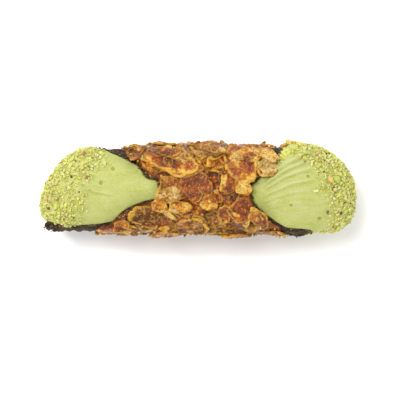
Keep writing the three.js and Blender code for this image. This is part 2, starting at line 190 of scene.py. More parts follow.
# ---- Single bits that catch the eye, seen from above: (x, y, size, look), sizes in mm ----
SINGLE_BITS = (
    (54.8, 3.9, 3.8, "nut_tan"), (57.0, 4.2, 4.0, "nut_green"), (56.0, 2.7, 2.4, "nut_yellow"),
    (54.0, -9.2, 2.3, "skin_purple"), (54.2, -9.4, 1.3, "nut_pale"), (56.0, 1.0, 1.8, "skin_purple"),
    (56.1, 1.0, 1.0, "nut_pale"), (57.3, 9.7, 1.8, "nut_green"), (59.6, -9.6, 1.6, "skin_dark"),
    (-61.4, 3.4, 1.9, "skin_purple"), (-61.6, 0.2, 1.5, "skin_brown"), (-61.8, -3.0, 1.6, "skin_brown"),
    (-62.0, -7.8, 2.4, "skin_purple"), (-61.4, -5.8, 1.8, "nut_tan"), (-46.6, 15.2, 3.0, "skin_brown"),
    (-44.6, 16.0, 2.4, "nut_tan"), (-45.2, 9.6, 1.8, "skin_brown"), (-45.6, 5.2, 2.2, "skin_brown"),
    (33.6, 2.9, 0.9, "nut_yellow"), (32.6, 0.8, 0.8, "nut_tan"), (-57.0, -9.4, 2.2, "nut_yellow"),
    (-52.6, -10.6, 2.2, "nut_yellow"), (-50.4, -6.6, 2.0, "nut_yellow"), (-49.0, -3.6, 1.8, "nut_yellow"),
    (-54.4, -6.4, 2.0, "nut_yellow"), (-58.6, -6.8, 1.8, "nut_yellow"), (52.4, 12.2, 1.4, "skin_purple"),
    (45.4, 19.4, 2.8, "skin_brown"), (46.4, 19.6, 1.8, "skin_purple"), (44.2, 11.8, 1.8, "skin_brown"),
)

# ---- Bits that stick to the coat: (x, turn, height above the dough, size, look), sizes in mm ----
COAT_BITS = (
    (-24.6, 40, 1.8, 1.2, "nut_yellow"), (-24.4, -70, 1.6, 1.2, "nut_yellow"),
    (25.6, -40, 1.6, 1.4, "nut_yellow"), (26.2, -45, 1.4, 1.2, "nut_pale"),
    (33.8, -66, 1.6, 1.6, "nut_yellow"), (37.6, -74, 1.2, 1.6, "golden"),
    (13.9, -9, 2.6, 2.6, "dough_dark"), (16.3, -7.5, 2.4, 1.4, "dough_dark"), (1.4, -12, 2.2, 1.3, "dough"),
    (5.5, -58, 2.0, 1.5, "dough_dark"), (36.6, 71, 1.2, 3.6, "golden"), (38.4, 72, 1.7, 4.4, "pale_gold"),
    (40.2, 73, 1.4, 4.0, "golden"), (41.8, 73, 0.9, 3.0, "pale_gold"), (35.2, 70, 0.8, 2.8, "tan"),
    (-41.0, -68, 1.2, 2.0, "golden"), (-39.4, -70, 1.2, 1.6, "golden"), (23.4, 24, 2.6, 1.4, "red_brown"),
)


# ---- Small tools for arrays ----
def in_mm(group):
    """A property group's lengths, in millimetres."""
    lengths = [p.identifier for p in group.bl_rna.properties if p.type == "FLOAT" and p.unit == "LENGTH"]
    return SimpleNamespace(**{name: getattr(group, name) / MM for name in lengths})


def smooth(value, low, high):
    """0 below low, 1 above high, and the cubic 3t^2 - 2t^3 between them."""
    t = np.clip((value - low) / (high - low), 0, 1)
    return t * t * (3 - 2 * t)


def bell(away, reach):
    """e^-(away / reach)^2: 1 at 0, falling to 0 on both sides."""
    return np.exp(-((away / reach) ** 2))


def mix(a, b, share):
    """a and b blended in a straight line."""
    return a + (b - a) * share


def on_tube(size, x, turn, radius):
    """Places at x along the tube, at a turn about its axis and a radius from it."""
    a = np.radians(turn)
    parts = np.broadcast_arrays(x, radius * np.sin(a), size.axis_height + radius * np.cos(a))
    return np.stack(parts, axis=-1)


def turn_of(size, places):
    """The turn of each place about the tube's axis, from 0 to 360."""
    return np.degrees(np.arctan2(places[..., 1], places[..., 2] - size.axis_height)) % 360


def lattice(cell, seed):
    """A fixed value from -1 to 1 for each whole-number place, from its coordinates mixed by odd factors."""
    h = cell[..., 0] * 374761393 + cell[..., 1] * 668265263 + cell[..., 2] * 974634777 + seed * 69069
    h = h & 0xFFFFFFFF
    h = ((h ^ (h >> 13)) * 1274126177) & 0xFFFFFFFF
    h = h ^ (h >> 16)
    return h / 0x7FFFFFFF - 1


def noise(places, pitch, seed=0):
    """Smooth noise from -1 to 1: lattice values a pitch apart, blended by a cubic step along each axis."""
    scaled = places / pitch
    cell = np.floor(scaled).astype(np.int64)
    part = scaled - cell
    part = part * part * (3 - 2 * part)
    total = 0
    for corner in np.ndindex(2, 2, 2):
        weight = np.prod(np.where(corner, part, 1 - part), axis=-1)
        total = total + weight * lattice(cell + np.array(corner), seed)
    return total


def rough(places, pitch, seed=0, octaves=3):
    """Noise with finer and weaker noise on it: each octave has half the pitch and half the height."""
    return sum(noise(places, pitch / 2**k, seed + k) / 2**k for k in range(octaves))


def blisters(places, pitch, seed=0):
    """Round bumps, one in each lattice cell at a shifted middle.

    A bump's height is 1 at most at its middle, and falls as 1 - distance^2 to 0 half a pitch away.
    """
    scaled = places / pitch
    cell = np.floor(scaled).astype(np.int64)
    highest = np.zeros(scaled.shape[:-1])
    for step in np.ndindex(3, 3, 3):
        near = cell + np.array(step) - 1
        middle = near + 0.5 + 0.35 * np.stack([lattice(near, seed + axis) for axis in range(3)], axis=-1)
        distance = np.linalg.norm(scaled - middle, axis=-1)
        height = 0.5 + 0.5 * lattice(near, seed + 5)
        highest = np.maximum(highest, height * np.clip(1 - (distance / 0.5) ** 2, 0, 1))
    return highest


def grid_normals(places):
    """Unit normals of a grid of places whose columns run round: the cross product of its two directions."""
    along = np.gradient(places, axis=0)
    round_ = np.roll(places, -1, axis=1) - np.roll(places, 1, axis=1)
    normal = np.cross(round_, along)
    return normal / np.maximum(np.linalg.norm(normal, axis=-1, keepdims=True), 1e-9)


def edge_line(size, points, count):
    """A closed smooth line through an edge's points, as evenly spaced (turn, x) arrays.

    On the unrolled tube, each stretch is the Catmull-Rom cubic of its two points and their two neighbours.
    """
    turn, x = np.array(points, float).T
    knots = np.column_stack([np.radians(turn) * size.shell_radius, x])
    lap = np.array([2 * np.pi * size.shell_radius, 0])
    ring = np.vstack([knots[-1:] - lap, knots, knots[:2] + lap])
    a, b, c, d = ring[:-3], ring[1:-2], ring[2:-1], ring[3:]
    t = np.linspace(0, 1, 24, endpoint=False)[:, None, None]
    line = 0.5 * (2 * b + (c - a) * t + (2 * a - 5 * b + 4 * c - d) * t**2 + (3 * b - a - 3 * c + d) * t**3)
    line = line.transpose(1, 0, 2).reshape(-1, 2)
    line = np.vstack([line, line[:1] + lap])
    length = np.concatenate([[0], np.cumsum(np.linalg.norm(np.diff(line, axis=0), axis=1))])
    at = np.linspace(0, length[-1], count, endpoint=False)
    around = np.interp(at, length, line[:, 0])
    return np.degrees(around / size.shell_radius), np.interp(at, length, line[:, 1])


def x_at_turn(points, turn):
    """An edge's x at each turn, in straight lines between its points."""
    turns, x = np.array(points, float).T
    return np.interp(np.asarray(turn) % 360, turns, x, period=360)


# ---- Meshes ----
def ring_faces(rows, columns, closed=False):
    """Quads between a grid's rows, whose columns run round, and from its last row to its first if closed."""
    row = np.arange(rows if closed else rows - 1)[:, None]
    column = np.arange(columns)[None, :]
    here, beside = row * columns + column, row * columns + (column + 1) % columns
    after = ((row + 1) % rows) * columns
    return np.stack([here, beside, after + (column + 1) % columns, after + column], axis=-1).reshape(-1, 4)


def closed_ends(rows, columns):
    """Triangles from a grid's first and last rows to the start and end places, which follow its places."""
    column = np.arange(columns)
    beside = (column + 1) % columns
    start = np.full(columns, rows * columns)
    last = (rows - 1) * columns
    return np.vstack([
        np.column_stack([start, beside, column]),
        np.column_stack([start + 1, last + column, last + beside]),
    ])


def outward(places, faces):
    """The face arrays, turned over if the volume that they enclose comes out negative."""
    volume = 0
    for group in faces:
        for k in range(1, group.shape[1] - 1):
            a, b, c = places[group[:, 0]], places[group[:, k]], places[group[:, k + 1]]
            volume += np.einsum("ij,ij->", a, np.cross(b, c))
    return faces if volume > 0 else [group[:, ::-1] for group in faces]


def new_piece(name, places, faces, material, nodes=(), attributes=None, smooth_faces=True):
    """A mesh object on the body that stands for some nodes: places in mm, and arrays of like faces."""
    mesh = bpy.data.meshes.new(name)
    mesh.vertices.add(len(places))
    mesh.vertices.foreach_set("co", (places * MM).astype(np.float32).ravel())
    corners = np.concatenate([group.ravel() for group in faces])
    sides = np.concatenate([np.full(len(group), group.shape[1]) for group in faces])
    mesh.loops.add(len(corners))
    mesh.loops.foreach_set("vertex_index", corners.astype(np.int32))
    mesh.polygons.add(len(sides))
    mesh.polygons.foreach_set("loop_start", (np.cumsum(sides) - sides).astype(np.int32))
    mesh.polygons.foreach_set("use_smooth", np.full(len(sides), smooth_faces))
    mesh.update(calc_edges=True)
    for key, values in (attributes or {}).items():
        is_colour = values.ndim == 2
        made = mesh.attributes.new(key, "FLOAT_COLOR" if is_colour else "FLOAT", "POINT")
        made.data.foreach_set("color" if is_colour else "value", values.astype(np.float32).ravel())
    mesh.materials.append(material)
    piece = bpy.data.objects.new(name, mesh)
    bpy.context.scene.collection.objects.link(piece)
    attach(piece, BODY)
    if nodes:
        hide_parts(*nodes)


# ---- Materials ----
def srgb(red, green, blue):
    """A linear colour from sRGB numbers of 0 to 255."""
    shares = [c / 255 for c in (red, green, blue)]
    return tuple(c / 12.92 if c <= 0.04045 else ((c + 0.055) / 1.055) ** 2.4 for c in shares)


class Recipe:
    """A material's nodes, with short ways to add and join them. Lengths are in millimetres."""

    def __init__(self, name, **constants):
        """A new material, with a constant on each named input of its shader."""
        self.material = bpy.data.materials.new(name)
        self.material.use_nodes = True
        self.tree = self.material.node_tree
        self.shader = self.tree.nodes["Principled BSDF"]
        self.coords = self.add("ShaderNodeTexCoord").outputs["Object"]
        for key, value in constants.items():
            self.shader.inputs[key.replace("_", " ")].default_value = value

    @classmethod
    def of_tree(cls, tree):
        """The same short ways for a world's nodes, which know a direction in place of a surface."""
        made = cls.__new__(cls)
        made.tree = tree
        made.direction = made.add("ShaderNodeTexCoord").outputs["Generated"]
        return made

    def add(self, kind, settings=None, inputs=None):
        """A node with its settings, and with a constant or a link on each named or numbered input."""
        made = self.tree.nodes.new(kind)
        for key, value in (settings or {}).items():
            setattr(made, key, value)
        for key, value in (inputs or {}).items():
            if isinstance(value, bpy.types.NodeSocket):
                self.tree.links.new(value, made.inputs[key])
            else:
                made.inputs[key].default_value = value
        return made

    def to_shader(self, **links):
        """Links sockets to the shader's inputs."""
        for key, value in links.items():
            self.tree.links.new(value, self.shader.inputs[key.replace("_", " ")])

    def stretched(self, sizes):
        """Object coordinates divided by a size along each axis, in millimetres."""
        scale = tuple(1 / (size * MM) for size in sizes)
        return self.add("ShaderNodeMapping", None, {"Vector": self.coords, "Scale": scale}).outputs["Vector"]

    def noise(self, pitch, detail=3.0, roughness=0.55, distortion=0.0, vector=None):
        """Cloudy noise from 0 to 1 with features about a pitch across."""
        inputs = {"Vector": vector or self.coords, "Scale": 1 if vector else 1 / (pitch * MM)}
        inputs.update({"Detail": detail, "Roughness": roughness, "Distortion": distortion})
        return self.add("ShaderNodeTexNoise", None, inputs).outputs["Fac"]

    def cells(self, pitch, output="Distance"):
        """A Voronoi pattern with cells about a pitch across: each place's distance or colour."""
        inputs = {"Vector": self.coords, "Scale": 1 / (pitch * MM)}
        return self.add("ShaderNodeTexVoronoi", None, inputs).outputs[output]

    def ramp(self, factor, *stops):
        """Colours along a factor: each stop is (position, colour)."""
        made = self.add("ShaderNodeValToRGB", None, {"Fac": factor})
        elements = made.color_ramp.elements
        while len(elements) < len(stops):
            elements.new(0.5)
        for element, (position, colour) in zip(elements, stops):
            element.position = position
            element.color = (*colour, 1)
        return made.outputs["Color"]

    def span(self, value, low, high, start=0.0, end=1.0):
        """A value's range from low to high carried over to start to end, and held outside it."""
        inputs = {"Value": value, "From Min": low, "From Max": high, "To Min": start, "To Max": end}
        return self.add("ShaderNodeMapRange", {"interpolation_type": "SMOOTHSTEP"}, inputs).outputs["Result"]

    def blend(self, factor, first, second, way="MIX"):
        """Two colours mixed by a factor."""
        inputs = {0: factor, 6: first, 7: second}
        inputs = {k: (*v, 1) if isinstance(v, tuple) else v for k, v in inputs.items()}
        return self.add("ShaderNodeMix", {"data_type": "RGBA", "blend_type": way}, inputs).outputs[2]

    def maths(self, operation, first, second=0.0):
        """A sum, product or other operation on two values."""
        return self.add("ShaderNodeMath", {"operation": operation}, {0: first, 1: second}).outputs["Value"]

    def total(self, *terms, offset=0.0):
        """The sum of some values, each given as (value, weight), and of an offset."""
        found = offset
        for value, weight in terms:
            inputs = {0: value, 1: weight, 2: found}
            found = self.add("ShaderNodeMath", {"operation": "MULTIPLY_ADD"}, inputs).outputs["Value"]
        return found

    def grey(self, value):
        """A grey whose red, green and blue are all a value."""
        return self.add("ShaderNodeCombineColor", None, {0: value, 1: value, 2: value}).outputs["Color"]

    def attribute(self, name, output="Fac"):
        """The value or colour that a piece's mesh stores under a name."""
        return self.add("ShaderNodeAttribute", {"attribute_name": name}).outputs[output]

    def bump(self, height, depth, normal=None):
        """A bumped normal, where a height of 1 stands depth millimetres above 0."""
        inputs = {"Height": height, "Strength": 1.0, "Distance": depth * MM}
        if normal:
            inputs["Normal"] = normal
        return self.add("ShaderNodeBump", None, inputs).outputs["Normal"]


def cream_material(look):
    """Smooth pistachio cream: long faint streaks along the tube, soft mottling and a little light let in."""
    m = Recipe("pistachio_cream", Roughness=0.42, Subsurface_Weight=0.15, Subsurface_Scale=0.002,
               Subsurface_Radius=(1.0, 0.9, 0.35), Specular_IOR_Level=0.12)
    streaks = m.noise(1, 3, 0.6, 0.6, m.stretched((7, 1.1, 1.1)))
    mottling = m.noise(5.5, 3, 0.5)
    grain = m.noise(0.7, 4, 0.7)
    # The crest attribute paints highlight on the piping ridges' crests and shade in their dips and pits. It
    # also darkens the cream close to the dough's edge.
    crests = m.attribute("crest")
    factor = m.total((streaks, 0.3), (mottling, 0.3), (grain, 0.55), (crests, 0.3), offset=-0.075)
    colour = m.ramp(factor, (0.34, look.cream_deep), (0.5, look.cream), (0.66, look.cream_pale))
    meal = m.span(m.attribute("meal"), 0.1, 0.9)
    speckle = m.ramp(m.cells(1.0, "Color"), (0.2, look.cream_deep), (0.5, look.nut), (0.8, look.nut_pale))
    m.to_shader(Base_Color=m.blend(m.maths("MULTIPLY", meal, 0.55), colour, speckle))
    drawn = m.noise(1, 4, 0.6, 0.4, m.stretched((4, 0.5, 0.5)))
    m.to_shader(Normal=m.bump(drawn, 0.1, m.bump(grain, 0.2)))
    return m.material


def dough_material(look):
    """Dark cocoa dough fried crisp: near-black brown, paler grey-brown on its high spots and darker in its
    dips, with pores and a dry crumb.
    """
    m = Recipe("cocoa_dough", Roughness=0.7, Specular_IOR_Level=0.08)
    factor = m.total((m.noise(1.1, 5, 0.9), 1.1), (m.attribute("height"), 0.3))
    colour = m.ramp(factor, (0.5, look.dough_dark), (0.72, look.dough), (0.98, look.dough_ashy))
    m.to_shader(Base_Color=colour)
    pores = m.cells(0.55)
    grain = m.noise(0.28, 4, 0.7)
    m.to_shader(Normal=m.bump(grain, 0.2, m.bump(pores, 0.25)))
    return m.material


def toasted_colours(m, look):
    """Amber glass and mottled tan skin along the mesh's tone, blended by its dullness, with golden dots.

    Returns the colour without its rim, the share of dull skin and the share of golden rim.
    """
    clouds = m.noise(2.0, 5, 0.65, 1.2)
    wide = m.noise(3.8, 3, 0.55)
    fine = m.noise(0.55, 4, 0.7)
    flecks = m.cells(1.2, "Color")
    stored = m.attribute("tone")
    tone = m.total((stored, 1.3), (clouds, 0.7), (wide, 1.4), (fine, 0.77), (flecks, 0.35), offset=-1.879)
    glassy = m.ramp(tone, (0.0, look.deep), (0.18, look.red_brown), (0.36, look.amber), (0.52, look.orange),
                    (0.7, look.golden), (1.0, look.pale_gold))
    speckled = m.total((fine, 0.35), (tone, 0.85))
    dull = m.ramp(speckled, (0.28, look.brown), (0.46, look.tan_deep), (0.66, look.tan), (0.9, look.tan_pale))
    loose_dull = m.total((clouds, 1.0), (fine, 0.8), (m.attribute("dull"), 1.0), offset=-0.9)
    dull_share = m.span(loose_dull, 0.42, 0.74)
    dots = m.maths("MULTIPLY", m.span(m.cells(0.95), 0.36, 0.18), m.span(clouds, 0.4, 0.6, 0.0, 0.7))
    colour = m.blend(dots, m.blend(dull_share, glassy, dull), look.rim_gold)
    rim = m.maths("MULTIPLY", m.attribute("rim"), m.span(m.noise(1.6, 3, 0.6), 0.34, 0.5))
    return colour, dull_share, rim


def caramel_material(look, name="caramel"):
    """Set caramel over toasted almond: tones stored on the mesh, a glassy coat, bubbles and a rough skin."""
    m = Recipe(name, Coat_Roughness=0.08, Specular_IOR_Level=0.5, Specular_Tint=(1.0, 0.66, 0.3, 1.0),
               Subsurface_Weight=0.08, Subsurface_Scale=0.0012, Subsurface_Radius=(1.0, 0.4, 0.1))
    colour, dull_share, rim = toasted_colours(m, look)
    lumps = m.noise(1.0, 4, 0.65, 0.5)
    # The colour is darkened in the lumps' dips and a little lightened on their tops, where the same noise
    # bumps the normal: painted shade and painted highlight.
    relief_shade = m.span(lumps, 0.37, 0.51, 0.46, 1.08)
    shaded = m.blend(1.0, colour, m.grey(relief_shade), "MULTIPLY")
    m.to_shader(Base_Color=m.blend(rim, shaded, look.rim_gold))
    m.to_shader(Coat_Weight=m.span(dull_share, 0.0, 1.0, 0.36, 0.04))
    m.to_shader(Roughness=m.span(dull_share, 0.0, 1.0, 0.22, 0.6))
    bubbles = m.span(m.cells(0.7), 0.1, 0.5)
    skin = m.bump(m.noise(0.5, 3, 0.6), 0.24, m.bump(bubbles, 0.12))
    m.to_shader(Normal=m.bump(lumps, 0.75, skin), Coat_Normal=m.bump(m.noise(0.9, 3, 0.5), 0.5))
    return m.material


def tinted_material(name, roughness, coat=0.0):
    """Chopped nut: each grain's colour is stored on the mesh and broken up by fine noise."""
    m = Recipe(name, Roughness=roughness, Coat_Weight=coat, Coat_Roughness=0.15, Specular_IOR_Level=0.4)
    grain = m.span(m.noise(0.4, 4, 0.6), 0.3, 0.7, 0.78, 1.12)
    m.to_shader(Base_Color=m.blend(1.0, m.attribute("tint", "Color"), m.grey(grain), "MULTIPLY"))
    m.to_shader(Normal=m.bump(m.noise(0.25, 3, 0.6), 0.06))
    return m.material


# ---- The dough tube ----
def shell_radius_at(size, x):
    """The dough's outside radius: it grows along a cubic step where the right mouth's lip flares."""
    return size.shell_radius + size.flare * smooth(x, size.flare_start, size.flare_end)


def strip_rows(left, right, near, rows, middle_rows, power=1.0):
    """Rows across a strip between two edge lines, close together within a distance of each edge.

    Row k lies near * (k / rows) ** power from an edge, and the middle rows are evenly spaced between.
    Returns turn, x and distance from the nearer edge.
    """
    (left_turn, left_x), (right_turn, right_x) = left, right
    length = right_x - left_x
    reach = np.minimum(near, 0.45 * length)
    step = (np.arange(rows + 1)[:, None] / rows) ** power
    from_left = reach * step
    from_right = length - from_left[::-1]
    share = np.arange(1, middle_rows)[:, None] / middle_rows
    between = mix(from_left[-1:], from_right[:1], share)
    distance = np.vstack([from_left, between, from_right])
    share = distance / length
    return mix(left_turn, right_turn, share), left_x + distance, np.minimum(distance, length - distance)


def ragged(size, line, seed, height, pitch):
    """An edge line with its x moved in and out by noise."""
    turn, x = line
    places = on_tube(size, x, turn, size.shell_radius)
    return turn, x + height * rough(places, pitch, seed, 3)


def build_dough(size, look):
    """The dough tube: a sleeve between the two mouths, with rounded, ragged rims and blisters outside."""
    left = ragged(size, edge_line(size, LEFT_MOUTH, DOUGH_COLUMNS), 11, 0.6, 1.9)
    right = ragged(size, edge_line(size, RIGHT_MOUTH, DOUGH_COLUMNS), 12, 0.6, 1.9)
    half = size.dough / 2

    def skin(side, near, rows, middle_rows):
        """One face of the dough, 1 outside or -1 inside: its rim is a quarter circle, and it is blistered."""
        turn, x, distance = strip_rows(left, right, near, rows, middle_rows, 1.35)
        inset = np.clip(1 - distance / half, 0, 1)  # 1 at the edge, 0 once past the rounding
        rounded = half * np.sqrt(1 - inset**2)
        radius = shell_radius_at(size, x) - half + side * rounded
        places = on_tube(size, x, turn, radius)
        past_film = np.maximum(x_at_turn(LEFT_FILM, turn) - x, x - x_at_turn(RIGHT_FILM, turn))
        bare = smooth(past_film, -0.5, 1.5)
        relief = 0.5 * blisters(places, 4.6, 3) + 0.45 * blisters(places, 2.0, 7) - 0.15
        relief = relief + 0.32 * rough(places, 1.5, 5, 2) + 0.25 * noise(places, 9, 9)
        grown = side * relief * (bare if side > 0 else 0.4)
        places = on_tube(size, x, turn, radius + grown * smooth(distance, -0.4, 0.8))
        return places, relief

    outside, height = skin(1, 24, 72, 8)
    inside, height_inside = skin(-1, 8, 9, 2)
    rows = np.concatenate([outside, inside[::-1][1:-1]])
    heights = np.concatenate([height, height_inside[::-1][1:-1]])
    places = rows.reshape(-1, 3)
    faces = outward(places, [ring_faces(len(rows), DOUGH_COLUMNS, closed=True)])
    high = np.clip(0.25 + 0.7 * heights.ravel(), 0, 1)
    new_piece("cocoa_dough_tube", places, faces, dough_material(look), ["dough_shell"],
              {"height": high})


# ---- The cream ----
class Cream:
    """The cream's surface, as rings of places from its left tip to its right one."""

    COLUMNS = 320
    EDGE_STEPS = 720
    HIDDEN = (0.38, 0.69)  # the share of the way along that the dough hides, which has few rings
    DOME_RINGS = 47
    # A dome starts at x = start, further on by back at the back and by up at the top. Its tip lies at tip_y,
    # and tip_down below the axis. Its cosine's power is square, and more by square_back at the back.
    LEFT = SimpleNamespace(
        start=-49, back=5.5, up=1.5, tip_y=-5.5, tip_down=3.0, square=1.08, square_back=0.32)
    RIGHT = SimpleNamespace(
        start=48, back=-5.0, up=-1.5, tip_y=0.4, tip_down=2.5, square=0.92, square_back=0.4)

    def __init__(self, size):
        """The smooth rings, their outward normals and their cover of nut, then the relief laid on them."""
        self.size = size
        self.turn = np.arange(self.COLUMNS) * 360 / self.COLUMNS
        self.left_line = edge_line(size, LEFT_MOUTH, self.EDGE_STEPS)
        self.right_line = edge_line(size, RIGHT_MOUTH, self.EDGE_STEPS)
        self.places = self.rings()
        self.normals = grid_normals(self.places)
        outward_side = self.places - np.array([0, 0, size.axis_height])
        outward_side[..., 0] = 0
        if (self.normals * outward_side).sum() < 0:
            self.normals = -self.normals
        self.meal = self.cover(self.places)
        height, self.crest = self.relief(self.places)
        self.places = self.places + self.normals * height[..., None]

    def past_edge(self, x, turn):
        """How far each place lies past the nearer mouth's edge: above 0 in the open, below 0 in the dough."""
        size = self.size
        found = np.empty(x.shape)
        for row in range(len(x)):
            is_left = x[row].mean() < 0
            line_turn, line_x = self.left_line if is_left else self.right_line
            turned = np.abs((line_turn[None, :] - turn[row][:, None] + 900) % 360 - 180)
            sideways = np.radians(turned) * size.shell_radius
            nearest = np.hypot(line_x[None, :] - x[row][:, None], sideways).min(axis=1)
            edge_x = line_x[turned.argmin(axis=1)]
            is_open = x[row] < edge_x if is_left else x[row] > edge_x
            found[row] = np.where(is_open, nearest, -nearest)
        return found

    def radius(self, x, turn):
        """Mid-dough in the tube; past a mouth's edge it steps up to the dough's outside and then swells.

        The swell is the most over the right mouth's back, and less underneath, at the flare and at the front
        of the right end.
        """
        size = self.size
        gone = self.past_edge(x, turn)
        step = smooth(gone, -0.5, 0.7)
        rise = smooth(gone, 0.7, 7.7)
        back = np.maximum(0, np.sin(np.radians(turn)))
        under = np.maximum(0, -np.cos(np.radians(turn)))
        flare = shell_radius_at(size, x) - size.shell_radius
        overflow = np.where(x > 0, size.overflow * smooth(x, 27, 38), 0.5)
        front = np.maximum(0, -np.sin(np.radians(turn)))
        swell = 0.9 + overflow * back - 0.6 * (under + flare) - 1.6 * front * smooth(x, 40, 47)
        inside = size.shell_radius - size.dough / 2 + flare * (1 - 0.6 * under)
        return inside + step * (size.dough / 2 + 0.25) + rise * swell

    def rings(self):
        """Rings along the tube, between the domes of its two ends."""
        size = self.size
        first, last = self.HIDDEN
        shares = np.concatenate([
            np.linspace(0, first, 100, endpoint=False),
            np.linspace(first, last, 8, endpoint=False),
            np.linspace(last, 1, 84),
        ])[:, None]
        back, up = np.sin(np.radians(self.turn)), np.cos(np.radians(self.turn))
        starts = [end.start + end.back * back + end.up * up for end in (self.LEFT, self.RIGHT)]
        x = mix(starts[0], starts[1], shares)
        turn = np.broadcast_to(self.turn, x.shape)
        body = on_tube(size, x, turn, self.radius(x, turn))
        left = self.dome(body[0], self.LEFT, CREAM_LOW[0])[::-1]
        right = self.dome(body[-1], self.RIGHT, CREAM_HIGH[0])
        return np.concatenate([left, body, right])

    def dome(self, ring, end, tip_x):
        """Rings from a dome's start almost to its tip: x follows a sine, and rings shrink by the cosine."""
        size = self.size
        angle = (np.linspace(0, 1, self.DOME_RINGS)[1:-1] * np.pi / 2)[:, None]
        power = end.square + end.square_back * np.sin(np.radians(self.turn))
        shrink = np.cos(angle) ** power
        return np.stack([
            mix(ring[:, 0], tip_x, np.sin(angle)),
            mix(end.tip_y, ring[:, 1], shrink),
            mix(size.axis_height - end.tip_down, ring[:, 2], shrink),
        ], axis=-1)

    def cover(self, places):
        """How fully chopped nut covers each place: 0 on the bare cream and 1 beyond the crumbs' edge."""
        turn = turn_of(self.size, places)
        wobble = 1.8 * noise(places, 5, 31) + 1.2 * noise(places, 1.8, 32)
        left = x_at_turn(LEFT_CRUMBS, turn) - places[..., 0]
        right = places[..., 0] - x_at_turn(RIGHT_CRUMBS, turn)
        return smooth(np.where(places[..., 0] < 0, left, right) + wobble, -3.2, 3.4)

    def relief(self, places):
        """Height above the smooth cream, and a shading value: the marks, which paint highlight on crests and
        shade in dips, less a darkening close to the dough's edge.

        Soft swells and a crumbly end, then the marks: piping ridges, a seam and small pits, which are bells.
        """
        x, y, z = places[..., 0], places[..., 1], places[..., 2]
        size = self.size
        height = 0.22 * noise(places, 13, 21) + 0.1 * noise(places, 4.5, 22)
        height = height + 0.05 * rough(places / np.array([4, 1, 1]), 1.1, 23, 2)
        is_top = smooth(z, size.axis_height - 4, size.axis_height + 2)
        marks = np.zeros(x.shape)
        # Piping ridges on the right: curves that spread and level out, each given by its y at x = 36.
        run = x - 36
        spread = np.maximum(1 + 0.025 * run, 0.3)
        line = (y - 0.34 * run + 0.012 * run**2) / spread + 0.35 * noise(places, 4, 24)
        shown = smooth(x, 25, 31) * (1 - smooth(x, 44, 51)) * is_top
        for crest, strength in PIPING_CRESTS:
            ridge = bell(line - crest, 0.6) - 0.6 * bell(line - crest + 1.0, 0.45)
            marks = marks + size.ridge * strength * shown * ridge
        # A fine seam on the left, where the nozzle was drawn away.
        seam = y - (0.4 - 0.21 * (x + 46.8))
        ridge = bell(seam, 0.4) - bell(seam + 0.8, 0.5)
        marks = marks + size.seam * ridge * smooth(x, -49, -45) * smooth(-x, 32, 37) * is_top
        for pit_x, pit_y, across in CREAM_PITS:
            far = np.hypot(x - pit_x, y - pit_y) / across
            marks = marks - size.pit * (np.exp(-(far**2)) - 0.25 * np.exp(-((far - 1.5) ** 2) * 3)) * is_top
        crumbly = self.meal * (0.3 * rough(places, 1.5, 25, 2) + 0.12)
        # The cream is coloured darker within a few millimetres of the dough's edge.
        by_dough = 0.4 * np.exp(-np.maximum(self.past_edge(x, turn_of(size, places)), 0) / 2.2)
        # The second value paints highlight on the marks' crests and shade in their dips.
        return height + marks + crumbly, np.clip(marks, -1, 1) - by_dough

    def top_at(self, x, y):
        """The cream's upper surface over each (x, y): the nearest of its places above the axis."""
        upper = self.places[self.places[..., 2] > self.size.axis_height]
        far = np.hypot(upper[None, :, 0] - x[:, None], upper[None, :, 1] - y[:, None])
        return upper[far.argmin(axis=1)]

    def scatter(self, rng, count, weight):
        """Random places on the surface, with normals: a cell's chance is its area times its weight."""
        a, b = self.places[:-1], self.places[1:]
        across = np.roll(a, -1, axis=1) - a
        area = np.linalg.norm(np.cross(across, b - a), axis=-1) * weight[:-1]
        chance = np.cumsum(area.ravel())
        pick = np.searchsorted(chance, rng.random(count) * chance[-1])
        row, column = np.unravel_index(np.minimum(pick, area.size - 1), area.shape)
        beside = (column + 1) % self.COLUMNS
        u, v = rng.random((2, count, 1))
        low = mix(self.places[row, column], self.places[row, beside], u)
        high = mix(self.places[row + 1, column], self.places[row + 1, beside], u)
        return mix(low, high, v), self.normals[row, column]


def build_cream(size, look):
    """The cream as one closed surface, with a point at each tip."""
    cream = Cream(size)
    rows, columns = cream.places.shape[:2]
    tips = [cream.places[0].mean(axis=0), cream.places[-1].mean(axis=0)]
    places = np.vstack([cream.places.reshape(-1, 3), tips])
    faces = outward(places, [ring_faces(rows, columns), closed_ends(rows, columns)])
    new_piece("pistachio_cream_filling", places, faces, cream_material(look),
              ["pistachio_cream"], {"meal": np.append(cream.meal.ravel(), [1, 1]),
                                    "crest": np.append(cream.crest.ravel(), [0, 0])})


# ---- Almond slices ----
LARGER_LONG, LARGER_WIDE = 1.22, 1.2  # outlines are drawn larger than the frame's, as chords cut them back
RIM_TURNS = (60, 25, -10, -50)  # where the rings of a slice's rounded rim lie, in degrees from level


